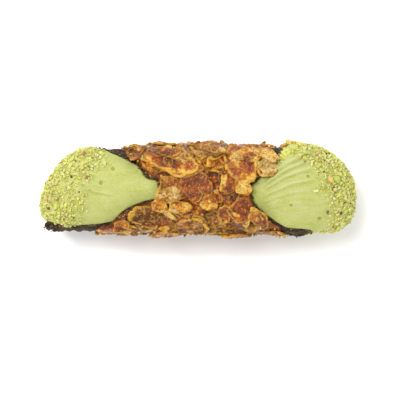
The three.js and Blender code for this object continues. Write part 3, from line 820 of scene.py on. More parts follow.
def slice_spot(size, node):
    """Where a node's slice lies on the unrolled tube: its middle, length, width, yaw and middle radius.

    The length runs along the direction in which the node's places are most spread out.
    """
    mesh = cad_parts[node].data
    places = np.empty(len(mesh.vertices) * 3, np.float32)
    mesh.vertices.foreach_get("co", places)
    places = np.unique(np.round(places.reshape(-1, 3).astype(float) / MM, 3), axis=0)
    up, back = places[:, 2] - size.axis_height, places[:, 1]
    turn = np.arctan2(back.mean(), up.mean())
    away = (np.arctan2(back, up) - turn + 3 * np.pi) % (2 * np.pi) - np.pi
    flat = np.column_stack([places[:, 0], (turn + away) * size.shell_radius])
    _, axes = np.linalg.eigh(np.cov((flat - flat.mean(axis=0)).T))
    long_way = axes[:, 1] * (1 if axes[0, 1] > 0 else -1)
    wide_way = np.array([-long_way[1], long_way[0]])
    p, q = flat @ long_way, flat @ wide_way
    middle = long_way * (p.max() + p.min()) / 2 + wide_way * (q.max() + q.min()) / 2
    radius = np.hypot(up, back)
    return (middle[0], middle[1], p.max() - p.min(), q.max() - q.min(),
            math.atan2(long_way[1], long_way[0]), (radius.max() + radius.min()) / 2)


def slice_plates(size, sides):
    """The frame's slice nodes, with a plate for each that lies where it lies, and the plates' outlines."""
    nodes = sorted(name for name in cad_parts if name.startswith("almond_slice"))
    rng = np.random.default_rng(7)
    x, around, length, width, yaw, radius = np.array([slice_spot(size, node) for node in nodes]).T
    for node, (along, sideways, longer, wider, turned_by) in SLICE_NUDGES.items():
        k = nodes.index(node)
        x[k] += along
        around[k] += sideways
        length[k] *= longer
        width[k] *= wider
        yaw[k] += math.radians(turned_by)
    count = len(nodes)
    stretch = radius / size.shell_radius
    pressed = 0.2 + 1.2 * np.sin(around / size.shell_radius) ** 4  # closer to the tube on the flanks
    at = SimpleNamespace(
        x=x, around=around * stretch, radius=radius - pressed, yaw=yaw,
        half_long=length * LARGER_LONG / 2, half_wide=width * stretch * LARGER_WIDE / 2,
        thick=rng.uniform(0.8, 1.2, count),
        tilt_long=rng.choice([-1, 1], count) * rng.uniform(0.3, 0.95, count),
        tilt_wide=rng.choice([-1, 1], count) * rng.uniform(0.2, 0.8, count),
        curl=rng.uniform(-0.3, 0.45, count),
    )
    return nodes, at, outlines(rng, at, sides)


def outlines(rng, at, sides):
    """Each plate's outline, as (along, across) places: an ellipse cut by five chords and broken by waves.

    On the unit circle, a chord at bearing b and reach r leaves the radius at most r / cos(bearing - b).
    """
    count = len(at.x)
    a = np.arange(sides)[None, :] * 2 * np.pi / sides
    far = np.ones((count, sides))
    first = rng.uniform(0, 2 * np.pi, (count, 1))
    for k in range(5):
        chord = first + 2 * np.pi * k / 5 + rng.uniform(-0.4, 0.4, (count, 1))
        reach = rng.uniform(0.66, 1.0, (count, 1))
        far = np.minimum(far, reach / np.maximum(np.cos(a - chord), 0.05))
    far = far * (1 + sum(
        height * rng.uniform(0.4, 1, (count, 1)) * np.cos(k * a + rng.uniform(0, 2 * np.pi, (count, 1)))
        for k, height in ((2, 0.05), (3, 0.05), (7, 0.03), (11, 0.02), (17, 0.014))
    ))
    return at.half_long[:, None] * far * np.cos(a), at.half_wide[:, None] * far * np.sin(a)


def lift(at, p, q, sideways):
    """How far a plate's middle surface stands above its radius: its tilts, its curl, and a flatter bend."""
    along, across = p / at.half_long, q / at.half_wide
    return (at.tilt_long * along + at.tilt_wide * across + at.curl * across**2
            + 0.3 * sideways**2 / (2 * at.radius))


def section(rings, flat_rings):
    """A plate's section from the middle of its top, round its rim, to the middle of its bottom.

    Returns each ring's share of the way out and its height in half thicknesses, without the two middles.
    """
    top = np.linspace(0, 1, rings + 1)[1:] ** 0.8 * 0.94
    rim = np.radians(np.array(RIM_TURNS))
    bottom = np.linspace(0.9, 0, flat_rings + 1)[:-1]
    out = np.concatenate([top, 0.94 + 0.06 * np.cos(rim), bottom])
    height = np.concatenate([np.ones(rings), np.sin(rim), -np.ones(flat_rings)])
    return out, height


def flakes(size, at, outline, rings, flat_rings, relief):
    """Bent plates on the tube: their places as (plate, place, xyz), and one plate's faces.

    at holds arrays with a value a plate: x, around, radius, half_long, half_wide, yaw, thick, tilts and curl.
    A plate's middle is dished, its rim is raised, and bumps of three sizes cover its top. Also returned are
    each place's share of the way out, its bearing from the plate's middle, and its x.
    """
    u, v = outline
    count, sides = u.shape
    at = SimpleNamespace(**{key: value[:, None] for key, value in vars(at).items()})
    out, height = section(rings, flat_rings)
    middles = np.zeros((count, 2))
    p = np.concatenate([(out[None, :, None] * u[:, None, :]).reshape(count, -1), middles], axis=1)
    q = np.concatenate([(out[None, :, None] * v[:, None, :]).reshape(count, -1), middles], axis=1)
    ring_out = np.concatenate([np.repeat(out, sides), [0, 0]])[None, :]
    ring_up = np.concatenate([np.repeat(height, sides), [1, -1]])[None, :]
    is_top = np.clip(ring_up, 0, 1)

    cos, sin = np.cos(at.yaw), np.sin(at.yaw)
    sideways = p * sin + q * cos
    x = at.x + p * cos - q * sin
    turn = np.degrees((at.around + sideways) / at.radius)
    radius = at.radius + lift(at, p, q, sideways)
    flat = on_tube(size, x, turn, radius)
    rim_height = 0.28 + 0.2 * noise(flat, 3, 63)
    dish = rim_height * bell(ring_out - 0.86, 0.12) - 0.3 * (1 - ring_out**2)
    bumps = 0.3 * noise(flat, 2.6, 61) + 0.2 * noise(flat, 1.2, 62) + 0.1 * noise(flat, 0.6, 64)
    thickness = at.thick / 2 * ring_up + relief * (dish * is_top + bumps * (0.3 + 0.7 * is_top))
    edge = relief * 0.35 * (noise(flat, 1.3, 65) * ring_out**4)[..., None]
    places = on_tube(size, x, turn, radius + thickness)
    away = np.stack([cos * p - sin * q, sin * p + cos * q], axis=-1)
    away = away / np.maximum(np.linalg.norm(away, axis=-1, keepdims=True), 1e-6)
    places[..., 0] += (away * edge)[..., 0]
    places[..., 2] = np.maximum(places[..., 2], 0)  # pressed flat where it lay down wet
    return SimpleNamespace(places=places, faces=[ring_faces(len(out), sides), closed_ends(len(out), sides)],
                           out=ring_out, bearing=np.arctan2(q, p), x=x)


def with_patches(places, tone, dull):
    """Tones and dullness with the patches laid over them, on the upper side."""
    for x, y, half_long, half_wide, bearing, patch_tone, patch_dull in PATCHES:
        cos, sin = math.cos(math.radians(bearing)), math.sin(math.radians(bearing))
        away_x, away_y = places[..., 0] - x, places[..., 1] - y
        along = (away_x * cos + away_y * sin) / half_long
        across = (away_y * cos - away_x * sin) / half_wide
        far = np.hypot(along, across) + 0.14 * noise(places, 1.6, 71)
        share = 0.95 * (1 - smooth(far, 0.82, 1.12)) * (places[..., 2] > AXIS_HEIGHT)
        tone = mix(tone, patch_tone, share)
        dull = mix(dull, patch_dull, share)
    return tone, dull


def build_slices(size, look):
    """One detailed slice for each almond slice of the frame, laid where that one lies."""
    nodes, at, outline = slice_plates(size, SLICE_SIDES)
    rng = np.random.default_rng(8)
    count = len(nodes)
    made = flakes(size, at, outline, 14, 4, 1.0)
    ranges = ((0.2, 0.7), (0.3, 0.7), (0, 1))
    looks = np.column_stack([rng.uniform(low, high, count) for low, high in ranges])
    looks[:len(SLICE_LOOKS)] = SLICE_LOOKS[:count]
    share = np.clip(0.5 + (made.x - at.x[:, None]) / (2 * at.half_long[:, None]), 0, 1)
    tone = mix(looks[:, :1], looks[:, 1:2], share) + 0.2 * noise(made.places, 2.4, 66)
    dull = np.broadcast_to(looks[:, 2:], tone.shape) + 0.3 * noise(made.places, 3.2, 67)
    tone, dull = with_patches(made.places, tone, dull)
    facing = 0.6 + 0.4 * np.cos(made.bearing - rng.uniform(0, 6.3, (count, 1)))
    rim = smooth(made.out, 0.78, 0.92) * facing * rng.uniform(0.4, 1.2, (count, 1))
    material = caramel_material(look, "glazed_almond")
    for k, node in enumerate(nodes):
        places = made.places[k]
        faces = outward(places - places.mean(axis=0), made.faces)
        new_piece(node.replace("almond_slice", "glazed_slice"), places, faces, material, [node],
                  {"tone": tone[k], "dull": dull[k], "rim": rim[k]})


# ---- The caramel coat ----
def film_relief(places):
    """Lumps of caramel and almond bits: broad swells, round lumps and a rough skin."""
    return (0.35 * noise(places, 5, 41) + 0.55 * blisters(places, 5.2, 43) + 0.5 * blisters(places, 2.6, 45)
            + 0.32 * rough(places, 1.6, 47, 3))


def caramel_by_slices(size, x, turn):
    """The radius that caramel reaches by the slices, and how close each place lies to a slice's outline.

    It stands 0.4 under each slice's middle surface, and sinks by 1.6 past its outline as e^-distance does.
    Closeness is 1 at an outline and falls off in the same way.
    """
    _, at, (u, v) = slice_plates(size, SLICE_SIDES)
    highest, closest = np.zeros(x.shape), np.zeros(x.shape)
    for k in range(len(at.x)):
        plate = SimpleNamespace(**{key: value[k] for key, value in vars(at).items()})
        lap = 2 * np.pi * plate.radius
        sideways = (np.radians(turn) * plate.radius - plate.around + 1.5 * lap) % lap - lap / 2
        along = x - plate.x
        reach = max(plate.half_long, plate.half_wide) + 4
        near = (np.abs(along) < reach) & (np.abs(sideways) < reach)
        cos, sin = math.cos(plate.yaw), math.sin(plate.yaw)
        p = along[near] * cos + sideways[near] * sin
        q = sideways[near] * cos - along[near] * sin
        bearings = np.arctan2(v[k], u[k])
        edge = np.interp(np.arctan2(q, p), bearings, np.hypot(u[k], v[k]), period=2 * np.pi)
        far = np.hypot(p, q)
        inward = np.minimum(1, edge / np.maximum(far, 1e-6))
        height = plate.radius + lift(plate, p * inward, q * inward, sideways[near] * inward)
        close = np.exp(-np.maximum(far - edge, 0) / 0.8)
        highest[near] = np.maximum(highest[near], height - 0.4 - 1.6 * (1 - close))
        closest[near] = np.maximum(closest[near], close)
    return highest, closest


def build_film(size, look):
    """The coat: a sleeve over the dough with ragged edges, which climbs the slices and has a flat foot."""
    left = ragged(size, edge_line(size, LEFT_FILM, FILM_COLUMNS), 51, 0.9, 2.2)
    right = ragged(size, edge_line(size, RIGHT_FILM, FILM_COLUMNS), 52, 0.9, 2.2)

    turn, x, distance = strip_rows(left, right, 26, 76, 34)
    base = shell_radius_at(size, x) + 0.1
    edge = np.sqrt(np.clip(distance / 0.7, 0, 1))  # the coat's edge rises within 0.7
    down = np.abs((turn + 720) % 360 - 180)
    swell = size.foot_swell * (1 - smooth(down, FOOT_FLAT, FOOT_EDGE))
    flat = on_tube(size, x, turn, base)
    relief = film_relief(flat)
    plain = base + edge * np.maximum(size.film * 0.8 + relief * smooth(distance, 0, 1.2), 0.15)
    climbing, closeness = caramel_by_slices(size, x, turn)
    climbing = climbing + 0.3 * noise(flat, 2.6, 48) + 0.15 * noise(flat, 0.9, 49)
    climbing = base + (climbing - base) * smooth(distance, 0, 1.5)
    radius = np.maximum(plain, climbing) + swell
    outside = on_tube(size, x, turn, radius)
    outside[..., 2] = np.maximum(outside[..., 2], 0)
    inner_turn, inner_x, _ = strip_rows(left, right, 4, 2, 3)
    inside = on_tube(size, inner_x, inner_turn, shell_radius_at(size, inner_x) - 0.8)

    # Caramel is paler where it stands higher, and darker close to the slices: that darkening is painted shade
    # in the crevices beside them.
    tone = 0.3 * (radius - swell - base) + 0.08 - 0.75 * closeness + 0.25 * noise(flat, 3.4, 44)
    dull = 0.2 + 0.5 * noise(flat, 5, 46)
    tone, dull = with_patches(outside, tone, dull)
    rows = np.concatenate([outside, inside[::-1]])
    places = rows.reshape(-1, 3)
    faces = outward(places, [ring_faces(len(rows), FILM_COLUMNS, closed=True)])
    hidden = np.zeros(inner_x.size)
    new_piece("caramel_coat", places, faces, caramel_material(look), ["caramel_film"],
              {"tone": np.concatenate([tone.ravel(), hidden]), "dull": np.concatenate([dull.ravel(), hidden]),
               "rim": np.zeros(len(places))})


def coat_spots(size, rng, count, inset):
    """Random x and turn on the coat, clear of its foot and at least an inset away from its edges.

    Twice as many are drawn as are wanted, and the first that lie on the coat are kept.
    """
    turn = rng.uniform(0, 360, count * 2)
    low, high = x_at_turn(LEFT_FILM, turn) + inset, x_at_turn(RIGHT_FILM, turn) - inset
    x = rng.uniform(-45, 42, count * 2)
    kept = np.flatnonzero((x > low) & (x < high) & (np.abs(turn - 180) > FOOT_CLEAR))[:count]
    return x[kept], turn[kept]


def build_shards(size, look):
    """Broken bits of almond slice between and under the whole ones, lying at all angles in the caramel."""
    rng = np.random.default_rng(19)
    x, turn = coat_spots(size, rng, SHARDS, 0.6)
    count = len(x)
    surface = np.maximum(shell_radius_at(size, x) + 0.8, caramel_by_slices(size, x, turn)[0])
    radius = surface + rng.uniform(-0.5, 0.35, count)
    length = rng.uniform(2.4, 8.5, count)
    steep = rng.uniform(0.15, 1.0, count) ** 1.5
    at = SimpleNamespace(
        x=x, around=np.radians(turn) * radius, radius=radius, half_long=length / 2,
        half_wide=length / 2 * rng.uniform(0.4, 0.75, count), yaw=rng.uniform(0, 2 * np.pi, count),
        thick=rng.uniform(0.5, 0.95, count), tilt_long=rng.choice([-1, 1], count) * steep * 1.1,
        tilt_wide=rng.choice([-1, 1], count) * steep * 1.1, curl=rng.uniform(-0.3, 0.4, count),
    )
    made = flakes(size, at, outlines(rng, at, SHARD_SIDES), 2, 1, 0.7)
    per_shard = made.places.shape[1]
    places = made.places.reshape(-1, 3)
    shift = (np.arange(count) * per_shard)[:, None, None]
    faces = outward(places, [(group[None] + shift).reshape(-1, group.shape[1]) for group in made.faces])
    tone = np.repeat(rng.uniform(0.1, 0.85, count), per_shard)
    dull = np.repeat(rng.uniform(0, 1, count) ** 1.5, per_shard)
    tone, dull = with_patches(places, tone, dull)
    rim = np.broadcast_to(smooth(made.out, 0.6, 0.95) * 0.5, made.places.shape[:2]).ravel()
    new_piece("almond_shards", places, faces, caramel_material(look, "glazed_shards"), (),
              {"tone": tone, "dull": dull, "rim": rim})


# ---- Chopped nuts and crumbs ----
def turned(rng, count):
    """Random rotation matrices, from random unit quaternions."""
    quaternions = rng.normal(size=(4, count))
    w, x, y, z = quaternions / np.linalg.norm(quaternions, axis=0)
    return np.stack([
        np.stack([1 - 2 * (y * y + z * z), 2 * (x * y - z * w), 2 * (x * z + y * w)], axis=-1),
        np.stack([2 * (x * y + z * w), 1 - 2 * (x * x + z * z), 2 * (y * z - x * w)], axis=-1),
        np.stack([2 * (x * z - y * w), 2 * (y * z + x * w), 1 - 2 * (x * x + y * y)], axis=-1),
    ], axis=1)


def icosahedron():
    """The twelve corners and twenty triangles of a unit icosahedron."""
    g = (1 + math.sqrt(5)) / 2
    corners = np.array([(-1, g, 0), (1, g, 0), (-1, -g, 0), (1, -g, 0), (0, -1, g), (0, 1, g), (0, -1, -g),
                        (0, 1, -g), (g, 0, -1), (g, 0, 1), (-g, 0, -1), (-g, 0, 1)]) / math.hypot(1, g)
    faces = np.array([(0, 11, 5), (0, 5, 1), (0, 1, 7), (0, 7, 10), (0, 10, 11), (1, 5, 9), (5, 11, 4),
                      (11, 10, 2), (10, 7, 6), (7, 1, 8), (3, 9, 4), (3, 4, 2), (3, 2, 6), (3, 6, 8),
                      (3, 8, 9), (4, 9, 5), (2, 4, 11), (6, 2, 10), (8, 6, 7), (9, 8, 1)])
    return corners, faces


def grain_piece(name, rng, middles, across, stretch, tints, material):
    """A piece of chopped grains: icosahedra with jittered corners, stretched and turned at random.

    Each grain has its middle, its size across, its tint, and stretches of at least a share of that size.
    """
    corners, faces = icosahedron()
    count = len(middles)
    shape = corners[None] * rng.uniform(0.62, 1.25, (count, len(corners), 1))
    shape = shape * rng.uniform(stretch, 1, (count, 1, 3)) * across[:, None, None] / 2
    places = np.einsum("nij,nkj->nki", turned(rng, count), shape) + middles[:, None]
    joined = (faces[None] + (np.arange(count) * len(corners))[:, None, None]).reshape(-1, 3)
    colours = np.repeat(np.column_stack([tints, np.ones(count)]), len(corners), axis=0)
    new_piece(name, places.reshape(-1, 3), [joined], material, (), {"tint": colours}, False)


def painted_light_right(tints, x):
    """Nut colours that grow warmer and brighter from x = 44 to 58, towards the right tip, to 0.6 at most:
    painted light on the right tip.
    """
    share = smooth(x, 44, 58)[:, None]
    return np.minimum(tints * (1 + share * np.array([0.18, 0.13, 0.06])), 0.6)


def tints_from(rng, count, palette, spread=0.12):
    """A colour for each grain, from a palette of (share, colour), made up to a spread lighter or darker."""
    shares = np.array([share for share, _ in palette], float)
    colours = np.array([colour for _, colour in palette])
    picked = colours[rng.choice(len(palette), count, p=shares / shares.sum())]
    return picked * rng.uniform(1 - spread, 1 + spread, (count, 1))


def build_pistachio(size, look):
    """Chopped pistachio on both ends: fine meal, larger bright bits, a heap on the right lip and skins.

    The middles of the meal and the bits stand out of the cream by a share of their size.
    """
    cream = Cream(size)
    rng = np.random.default_rng(23)
    meal_weight = cream.meal**1.5
    nut = tinted_material("chopped_pistachio", 0.6)

    spots, normals = cream.scatter(rng, MEAL_GRAINS, meal_weight)
    across = rng.gamma(4, 0.2, MEAL_GRAINS) + 0.3
    palette = ((4, look.nut), (3, look.nut_pale), (2, look.nut_yellow), (1.2, look.nut_green),
               (0.5, look.nut_tan))
    tints = painted_light_right(tints_from(rng, MEAL_GRAINS, palette), spots[:, 0])
    spots = spots + normals * across[:, None] * 0.22
    grain_piece("pistachio_meal", rng, spots, across, 0.5, tints, nut)

    # The bright bits gather at the lower left, and beside the heap at the upper right.
    top = smooth(cream.places[..., 2], size.axis_height - 6, size.axis_height + 6)
    x, y = cream.places[..., 0], cream.places[..., 1]
    low_left = np.exp(-(((x + 58) / 5) ** 2) - (((y + 10) / 4) ** 2)) * 4
    pile = np.exp(-(((x - 38) / 5) ** 2) - (((y - 16) / 4) ** 2)) * 9 * top
    spots, normals = cream.scatter(rng, BRIGHT_BITS, meal_weight * (0.5 + low_left + pile))
    across = rng.uniform(0.9, 1.9, BRIGHT_BITS)
    palette = ((4, look.nut_yellow), (1, look.nut_pale), (2, look.nut_green), (1, look.nut_tan))
    tints = painted_light_right(tints_from(rng, BRIGHT_BITS, palette), spots[:, 0])
    spots = spots + normals * across[:, None] * 0.3
    grain_piece("pistachio_bits", rng, spots, across, 0.45, tints, nut)

    heap_x = rng.normal(HEAP.x, HEAP.spread, HEAP_GRAINS)
    aside = rng.normal(0, HEAP.aside, HEAP_GRAINS)
    heap_turn = np.minimum(HEAP.turn + HEAP.lean * (heap_x - HEAP.x) + aside, HEAP.last_turn)
    heap = np.exp(-(((heap_x - HEAP.x) / HEAP.reach) ** 2) - (aside / HEAP.reach_aside) ** 2)
    radius = shell_radius_at(size, heap_x) + rng.uniform(-0.4, 0.2, HEAP_GRAINS)
    radius = radius + HEAP.height * heap * rng.random(HEAP_GRAINS)
    across = rng.gamma(5, 0.16, HEAP_GRAINS) + 0.4
    palette = ((5, look.nut), (3, look.nut_pale), (2, look.nut_yellow), (1, look.nut_green))
    tints = tints_from(rng, HEAP_GRAINS, palette)
    spots = on_tube(size, heap_x, heap_turn, radius)
    grain_piece("pistachio_heap", rng, spots, across, 0.5, tints, nut)

    bits = np.array([bit[:3] for bit in SINGLE_BITS], float)
    tints = np.array([getattr(look, bit[3]) for bit in SINGLE_BITS])
    spots = cream.top_at(bits[:, 0], bits[:, 1]) + np.array([0, 0, 0.25]) * bits[:, 2:]
    grain_piece("pistachio_pieces", rng, spots, bits[:, 2], 0.55, tints, nut)

    spots, normals = cream.scatter(rng, SKIN_FLAKES, meal_weight)
    across = rng.uniform(0.5, 1.5, SKIN_FLAKES)
    palette = ((3, look.skin_purple), (5, look.skin_brown), (1, look.skin_dark))
    tints = tints_from(rng, SKIN_FLAKES, palette, 0.25)
    spots = spots + normals * (across[:, None] * 0.2 + 0.15)
    grain_piece("pistachio_skins", rng, spots, across, 0.25, tints, nut)


def build_crumbs(size, look):
    """Chopped almond in the caramel, and dark crumbs of dough along both mouths."""
    rng = np.random.default_rng(29)
    x, turn = coat_spots(size, rng, COAT_CRUMBS, 0.1)
    radius = shell_radius_at(size, x) + 0.9 + rng.uniform(0.1, 1.0, len(x))
    across = rng.gamma(5, 0.16, len(x)) + 0.4
    palette = ((3, look.golden), (3, look.orange), (2, look.tan), (1, look.pale_gold), (0.6, look.red_brown))
    tints = tints_from(rng, len(x), palette)
    grain_piece("almond_crumbs", rng, on_tube(size, x, turn, radius), across, 0.4, tints,
                tinted_material("glazed_crumbs", 0.35, 0.6))

    # Crumbs of dough lie along each mouth, from 0.7 past its edge to 2.5 back over the dough.
    spots = []
    for edge, inwards in ((LEFT_MOUTH, 1), (RIGHT_MOUTH, -1)):
        line_turn, line_x = edge_line(size, edge, RIM_CRUMBS)
        radius = shell_radius_at(size, line_x) + rng.uniform(-0.2, 0.6, RIM_CRUMBS)
        aside = inwards * np.clip(rng.normal(0.3, 0.8, RIM_CRUMBS), -0.7, 2.5)
        spots.append(on_tube(size, line_x + aside, line_turn, radius))
    spots = np.concatenate(spots)
    across = rng.gamma(4, 0.16, len(spots)) + 0.3
    palette = ((2, look.dough_dark), (2, look.dough), (1, look.dough_ashy))
    tints = tints_from(rng, len(spots), palette)
    grain_piece("dough_crumbs", rng, spots, across, 0.4, tints, tinted_material("dry_crumbs", 0.75))

    x, turn, height, across = np.array([bit[:4] for bit in COAT_BITS], float).T
    spots = on_tube(size, x, turn, shell_radius_at(size, x) + height)
    tints = np.array([getattr(look, bit[4]) for bit in COAT_BITS])
    grain_piece("stray_bits", rng, spots, across, 0.5, tints, tinted_material("stray_bits", 0.5, 0.3))


# ---- The stage ----
def build_stage(stage):
    """A white floor, soft white light from all round and from the upper left, and a camera looking down."""
    scene = bpy.context.scene
    scene.view_settings.view_transform = "Standard"
    scene.view_settings.look = "None"
    world = bpy.data.worlds.new("soft_white")
    world.use_nodes = True
    background = world.node_tree.nodes["Background"]
    background.inputs["Color"].default_value = (1, 1, 1, 1)
    sky = Recipe.of_tree(world.node_tree)
    up = sky.add("ShaderNodeSeparateXYZ", None, {0: sky.direction}).outputs["Z"]
    strength = sky.total((sky.maths("MULTIPLY", up, up), stage.zenith - stage.horizon), offset=stage.horizon)
    world.node_tree.links.new(strength, background.inputs["Strength"])
    scene.world = world

    half = 3.0  # metres, like the other sizes of the stage
    mesh = bpy.data.meshes.new("floor")
    below = -0.0002  # clear of the lowest crumbs
    corners = [(-half, -half, below), (half, -half, below), (half, half, below), (-half, half, below)]
    mesh.from_pydata(corners, [], [(0, 1, 2, 3)])
    m = Recipe("white_floor", Roughness=0.9, Specular_IOR_Level=0.1)
    m.shader.inputs["Base Color"].default_value = (*stage.floor, 1)
    mesh.materials.append(m.material)
    floor = bpy.data.objects.new("floor", mesh)
    scene.collection.objects.link(floor)

    def panel(name, place, across, power):
        """A round soft light that faces the tube."""
        light = bpy.data.lights.new(name, "AREA")
        light.shape = "DISK"
        light.size = across
        light.energy = power
        lamp = bpy.data.objects.new(name, light)
        lamp.location = place
        aim = np.array([0, 0, 0.02]) - np.array(place)
        lamp.rotation_mode = "QUATERNION"
        lamp.rotation_quaternion = Vector(aim).to_track_quat("-Z", "Y")
        scene.collection.objects.link(lamp)

    panel("key", (-0.26, 0.27, 1.0), 0.48, stage.key_power)
    panel("fill", (0.6, -0.75, 0.55), 0.9, stage.fill_power)
    panel("sparkle", (-0.5, 0.35, 1.0), 0.14, stage.sparkle_power)

    camera = bpy.data.cameras.new("camera")
    camera.lens = camera.sensor_width * stage.camera_height / stage.frame_width
    camera.clip_end = 20
    eye = bpy.data.objects.new("camera", camera)
    eye.location = (stage.look_x, stage.look_y, stage.camera_height + AXIS_HEIGHT * MM)
    scene.collection.objects.link(eye)
    scene.camera = eye


# ---- The add-on's properties ----
def length(name, description, default_mm):
    """A length property with its default in millimetres."""
    return bpy.props.FloatProperty(name=name, description=description, default=default_mm * MM, unit="LENGTH",
                                   subtype="DISTANCE", precision=5)


def colour(name, description, red, green, blue):
    """A colour property. Its default is given in sRGB, as it looks on level ground in this light."""
    default = [c / LEVEL_LIGHT for c in srgb(red, green, blue)]
    return bpy.props.FloatVectorProperty(name=name, description=description, default=default,
                                         subtype="COLOR", size=3, min=0, max=1)


def power(name, description, default):
    """A light's power property."""
    return bpy.props.FloatProperty(name=name, description=description, default=default, unit="POWER")


class CannoloSizes(bpy.types.PropertyGroup):
    """Lengths that drive the pieces."""

    axis_height: length("Axis height", "Height of the tube's axis above the floor", AXIS_HEIGHT)
    shell_radius: length("Tube radius", "Outside radius of the dough tube", SHELL_RADIUS)
    dough: length("Dough thickness", "Thickness of the dough", 2.4)
    flare: length("Flare", "How far the right mouth's lip opens outwards", FLARE)
    flare_start: length("Flare start", "Where along the tube the flare starts", 29)
    flare_end: length("Flare end", "Where along the tube the flare is full", 39)
    film: length("Coat thickness", "Thickness of the caramel between its lumps", 0.9)
    foot_swell: length("Foot", "Depth of the caramel pooled under the tube", 1.9)
    overflow: length("Overflow", "How far cream swells over the right mouth's back", 4.2)
    ridge: length("Piping ridges", "Height of the ridges that the nozzle left", 0.65)
    seam: length("Seam", "Height of the seam that the nozzle left on the left", 0.3)
    pit: length("Pits", "Depth of the small pits in the cream", 0.9)


class CannoloLook(bpy.types.PropertyGroup):
    """Colours of the pieces."""

    cream: colour("Cream", "The cream's main colour", 208, 212, 126)
    # Deep and pale cream also show the painted shade in the relief's dips and the painted highlight on its
    # crests.
    cream_deep: colour("Deep cream", "Cream in its streaks", 188, 196, 98)
    cream_pale: colour("Pale cream", "Cream on its high streaks", 218, 220, 152)
    dough: colour("Dough", "Cocoa dough", 100, 82, 62)
    dough_dark: colour("Dark dough", "Dough in its dips", 42, 32, 24)
    # The paler grey-brown that the dough takes on its high spots, and that some of its crumbs have.
    dough_ashy: colour("Ashy dough", "Dough on its high spots", 150, 124, 88)
    deep: colour("Deep caramel", "Caramel at its darkest", 110, 36, 1)
    red_brown: colour("Red brown", "Dark caramel over almond", 164, 62, 2)
    amber: colour("Amber", "Amber caramel", 184, 86, 3)
    orange: colour("Orange", "Orange caramel", 220, 130, 12)
    golden: colour("Golden", "Golden almond and caramel", 250, 190, 56)
    rim_gold: colour("Rim gold", "Raised rims of the almond slices", 252, 196, 70)
    pale_gold: colour("Pale gold", "The palest caramel", 252, 224, 132)
    brown: colour("Brown", "Dips in the dull almond skin", 92, 46, 8)
    tan_deep: colour("Deep tan", "Dark parts of the dull almond skin", 150, 86, 30)
    tan: colour("Tan", "Dull almond skin", 206, 146, 76)
    tan_pale: colour("Pale tan", "The palest almond skin", 248, 216, 142)
    nut: colour("Pistachio", "Chopped pistachio", 230, 230, 128)
    nut_pale: colour("Pale pistachio", "The palest pistachio", 238, 238, 156)
    nut_yellow: colour("Yellow pistachio", "Bright pistachio bits", 248, 244, 112)
    nut_green: colour("Green pistachio", "Green pistachio bits", 206, 220, 100)
    nut_tan: colour("Tan pistachio", "Toasted pistachio bits", 240, 204, 112)
    skin_purple: colour("Purple skin", "Purple pistachio skin", 138, 96, 92)
    skin_brown: colour("Brown skin", "Brown pistachio skin", 188, 130, 84)
    skin_dark: colour("Dark skin", "Dark pistachio skin", 104, 76, 58)


class CannoloStage(bpy.types.PropertyGroup):
    """The floor, the light and the camera."""

    floor: bpy.props.FloatVectorProperty(
        name="Floor", description="The floor's colour", default=(0.98, 0.98, 0.98), subtype="COLOR", size=3,
        min=0, max=1)
    horizon: bpy.props.FloatProperty(
        name="Horizon", description="Strength of the white surround at the horizon", default=1.5)
    zenith: bpy.props.FloatProperty(
        name="Zenith", description="Strength of the white surround overhead", default=0.2)
    key_power: power("Key light", "Power of the main light", 7.1)
    fill_power: power("Fill light", "Power of the light from the lower right", 1.3)
    sparkle_power: power("Sparkle light", "Power of the small bright light", 2.2)
    camera_height: length("Camera height", "Height of the camera above the tube's axis", 900)
    frame_width: length("Frame width", "Width of the view at the tube's axis", 168)
    look_x: length("Look at X", "Where along the tube the camera looks", 1.05)
    look_y: length("Look at Y", "How far behind the axis the camera looks", -4.2)


# ---- The add-on's operators ----
def colours_of(group):
    """A look's colours as plain tuples."""
    names = [p.identifier for p in group.bl_rna.properties if p.type == "FLOAT" and p.subtype == "COLOR"]
    return SimpleNamespace(**{name: tuple(getattr(group, name)) for name in names})


class PieceOperator:
    """Shared by the operators that build pieces: each names its build function."""

    bl_options = {"REGISTER", "UNDO"}

    def execute(self, context):
        """Builds the piece from the scene's cannolo sizes and colours."""
        type(self).build(in_mm(context.scene.cannolo_sizes), colours_of(context.scene.cannolo_look))
        return {"FINISHED"}


class CANNOLO_OT_stage(bpy.types.Operator):
    """Add the floor, the light and the camera"""

    bl_idname = "cannolo.stage"
    bl_label = "Stage"
    bl_options = {"REGISTER", "UNDO"}

    def execute(self, context):
        """Builds the stage from the scene's settings for it."""
        build_stage(context.scene.cannolo_stage)
        return {"FINISHED"}


class CANNOLO_OT_dough(PieceOperator, bpy.types.Operator):
    """Add the cocoa dough tube"""

    bl_idname = "cannolo.dough"
    bl_label = "Dough tube"
    build = build_dough


class CANNOLO_OT_cream(PieceOperator, bpy.types.Operator):
    """Add the pistachio cream"""

    bl_idname = "cannolo.cream"
    bl_label = "Cream"
    build = build_cream


class CANNOLO_OT_film(PieceOperator, bpy.types.Operator):
    """Add the caramel coat"""

    bl_idname = "cannolo.film"
    bl_label = "Caramel coat"
    build = build_film


class CANNOLO_OT_slices(PieceOperator, bpy.types.Operator):
    """Add the almond slices"""

    bl_idname = "cannolo.slices"
    bl_label = "Almond slices"
    build = build_slices


class CANNOLO_OT_shards(PieceOperator, bpy.types.Operator):
    """Add the broken almond bits"""

    bl_idname = "cannolo.shards"
    bl_label = "Almond shards"
    build = build_shards


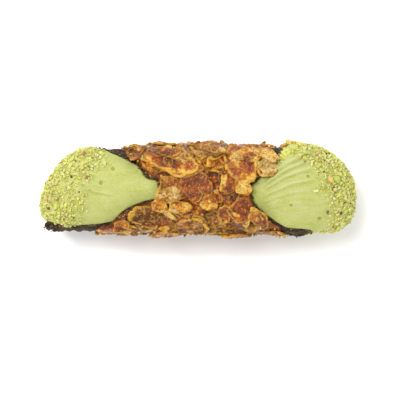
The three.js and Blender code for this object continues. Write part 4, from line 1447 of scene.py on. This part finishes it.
class CANNOLO_OT_pistachio(PieceOperator, bpy.types.Operator):
    """Add the chopped pistachio"""

    bl_idname = "cannolo.pistachio"
    bl_label = "Chopped pistachio"
    build = build_pistachio


class CANNOLO_OT_crumbs(PieceOperator, bpy.types.Operator):
    """Add the almond and dough crumbs"""

    bl_idname = "cannolo.crumbs"
    bl_label = "Crumbs"
    build = build_crumbs


OPERATORS = (CANNOLO_OT_stage, CANNOLO_OT_dough, CANNOLO_OT_cream, CANNOLO_OT_film, CANNOLO_OT_slices,
             CANNOLO_OT_shards, CANNOLO_OT_pistachio, CANNOLO_OT_crumbs)


class CANNOLO_PT_panel(bpy.types.Panel):
    """The cannolo's pieces, sizes and colours"""

    bl_idname = "CANNOLO_PT_panel"
    bl_label = "Cannolo"
    bl_space_type = "VIEW_3D"
    bl_region_type = "UI"
    bl_category = "Cannolo"

    def draw(self, context):
        """Lists the operators, then every property."""
        for operator in OPERATORS:
            self.layout.operator(operator.bl_idname)
        scene = context.scene
        for group in (scene.cannolo_sizes, scene.cannolo_look, scene.cannolo_stage):
            box = self.layout.box()
            for key in group.__annotations__:
                box.prop(group, key)


GROUPS = {"cannolo_sizes": CannoloSizes, "cannolo_look": CannoloLook, "cannolo_stage": CannoloStage}
CLASSES = (*GROUPS.values(), *OPERATORS, CANNOLO_PT_panel)


def register():
    """Registers the classes and hangs the property groups on the scene."""
    for cls in CLASSES:
        bpy.utils.register_class(cls)
    for name, group in GROUPS.items():
        setattr(bpy.types.Scene, name, bpy.props.PointerProperty(type=group))


def unregister():
    """Takes the property groups and the classes away again."""
    for name in GROUPS:
        delattr(bpy.types.Scene, name)
    for cls in reversed(CLASSES):
        bpy.utils.unregister_class(cls)


def main():
    """Builds the scene: the stage first, then each piece."""
    register()
    bpy.ops.cannolo.stage()
    bpy.ops.cannolo.dough()
    bpy.ops.cannolo.cream()
    bpy.ops.cannolo.film()
    bpy.ops.cannolo.slices()
    bpy.ops.cannolo.shards()
    bpy.ops.cannolo.pistachio()
    bpy.ops.cannolo.crumbs()


if __name__ == "__main__":
    main()
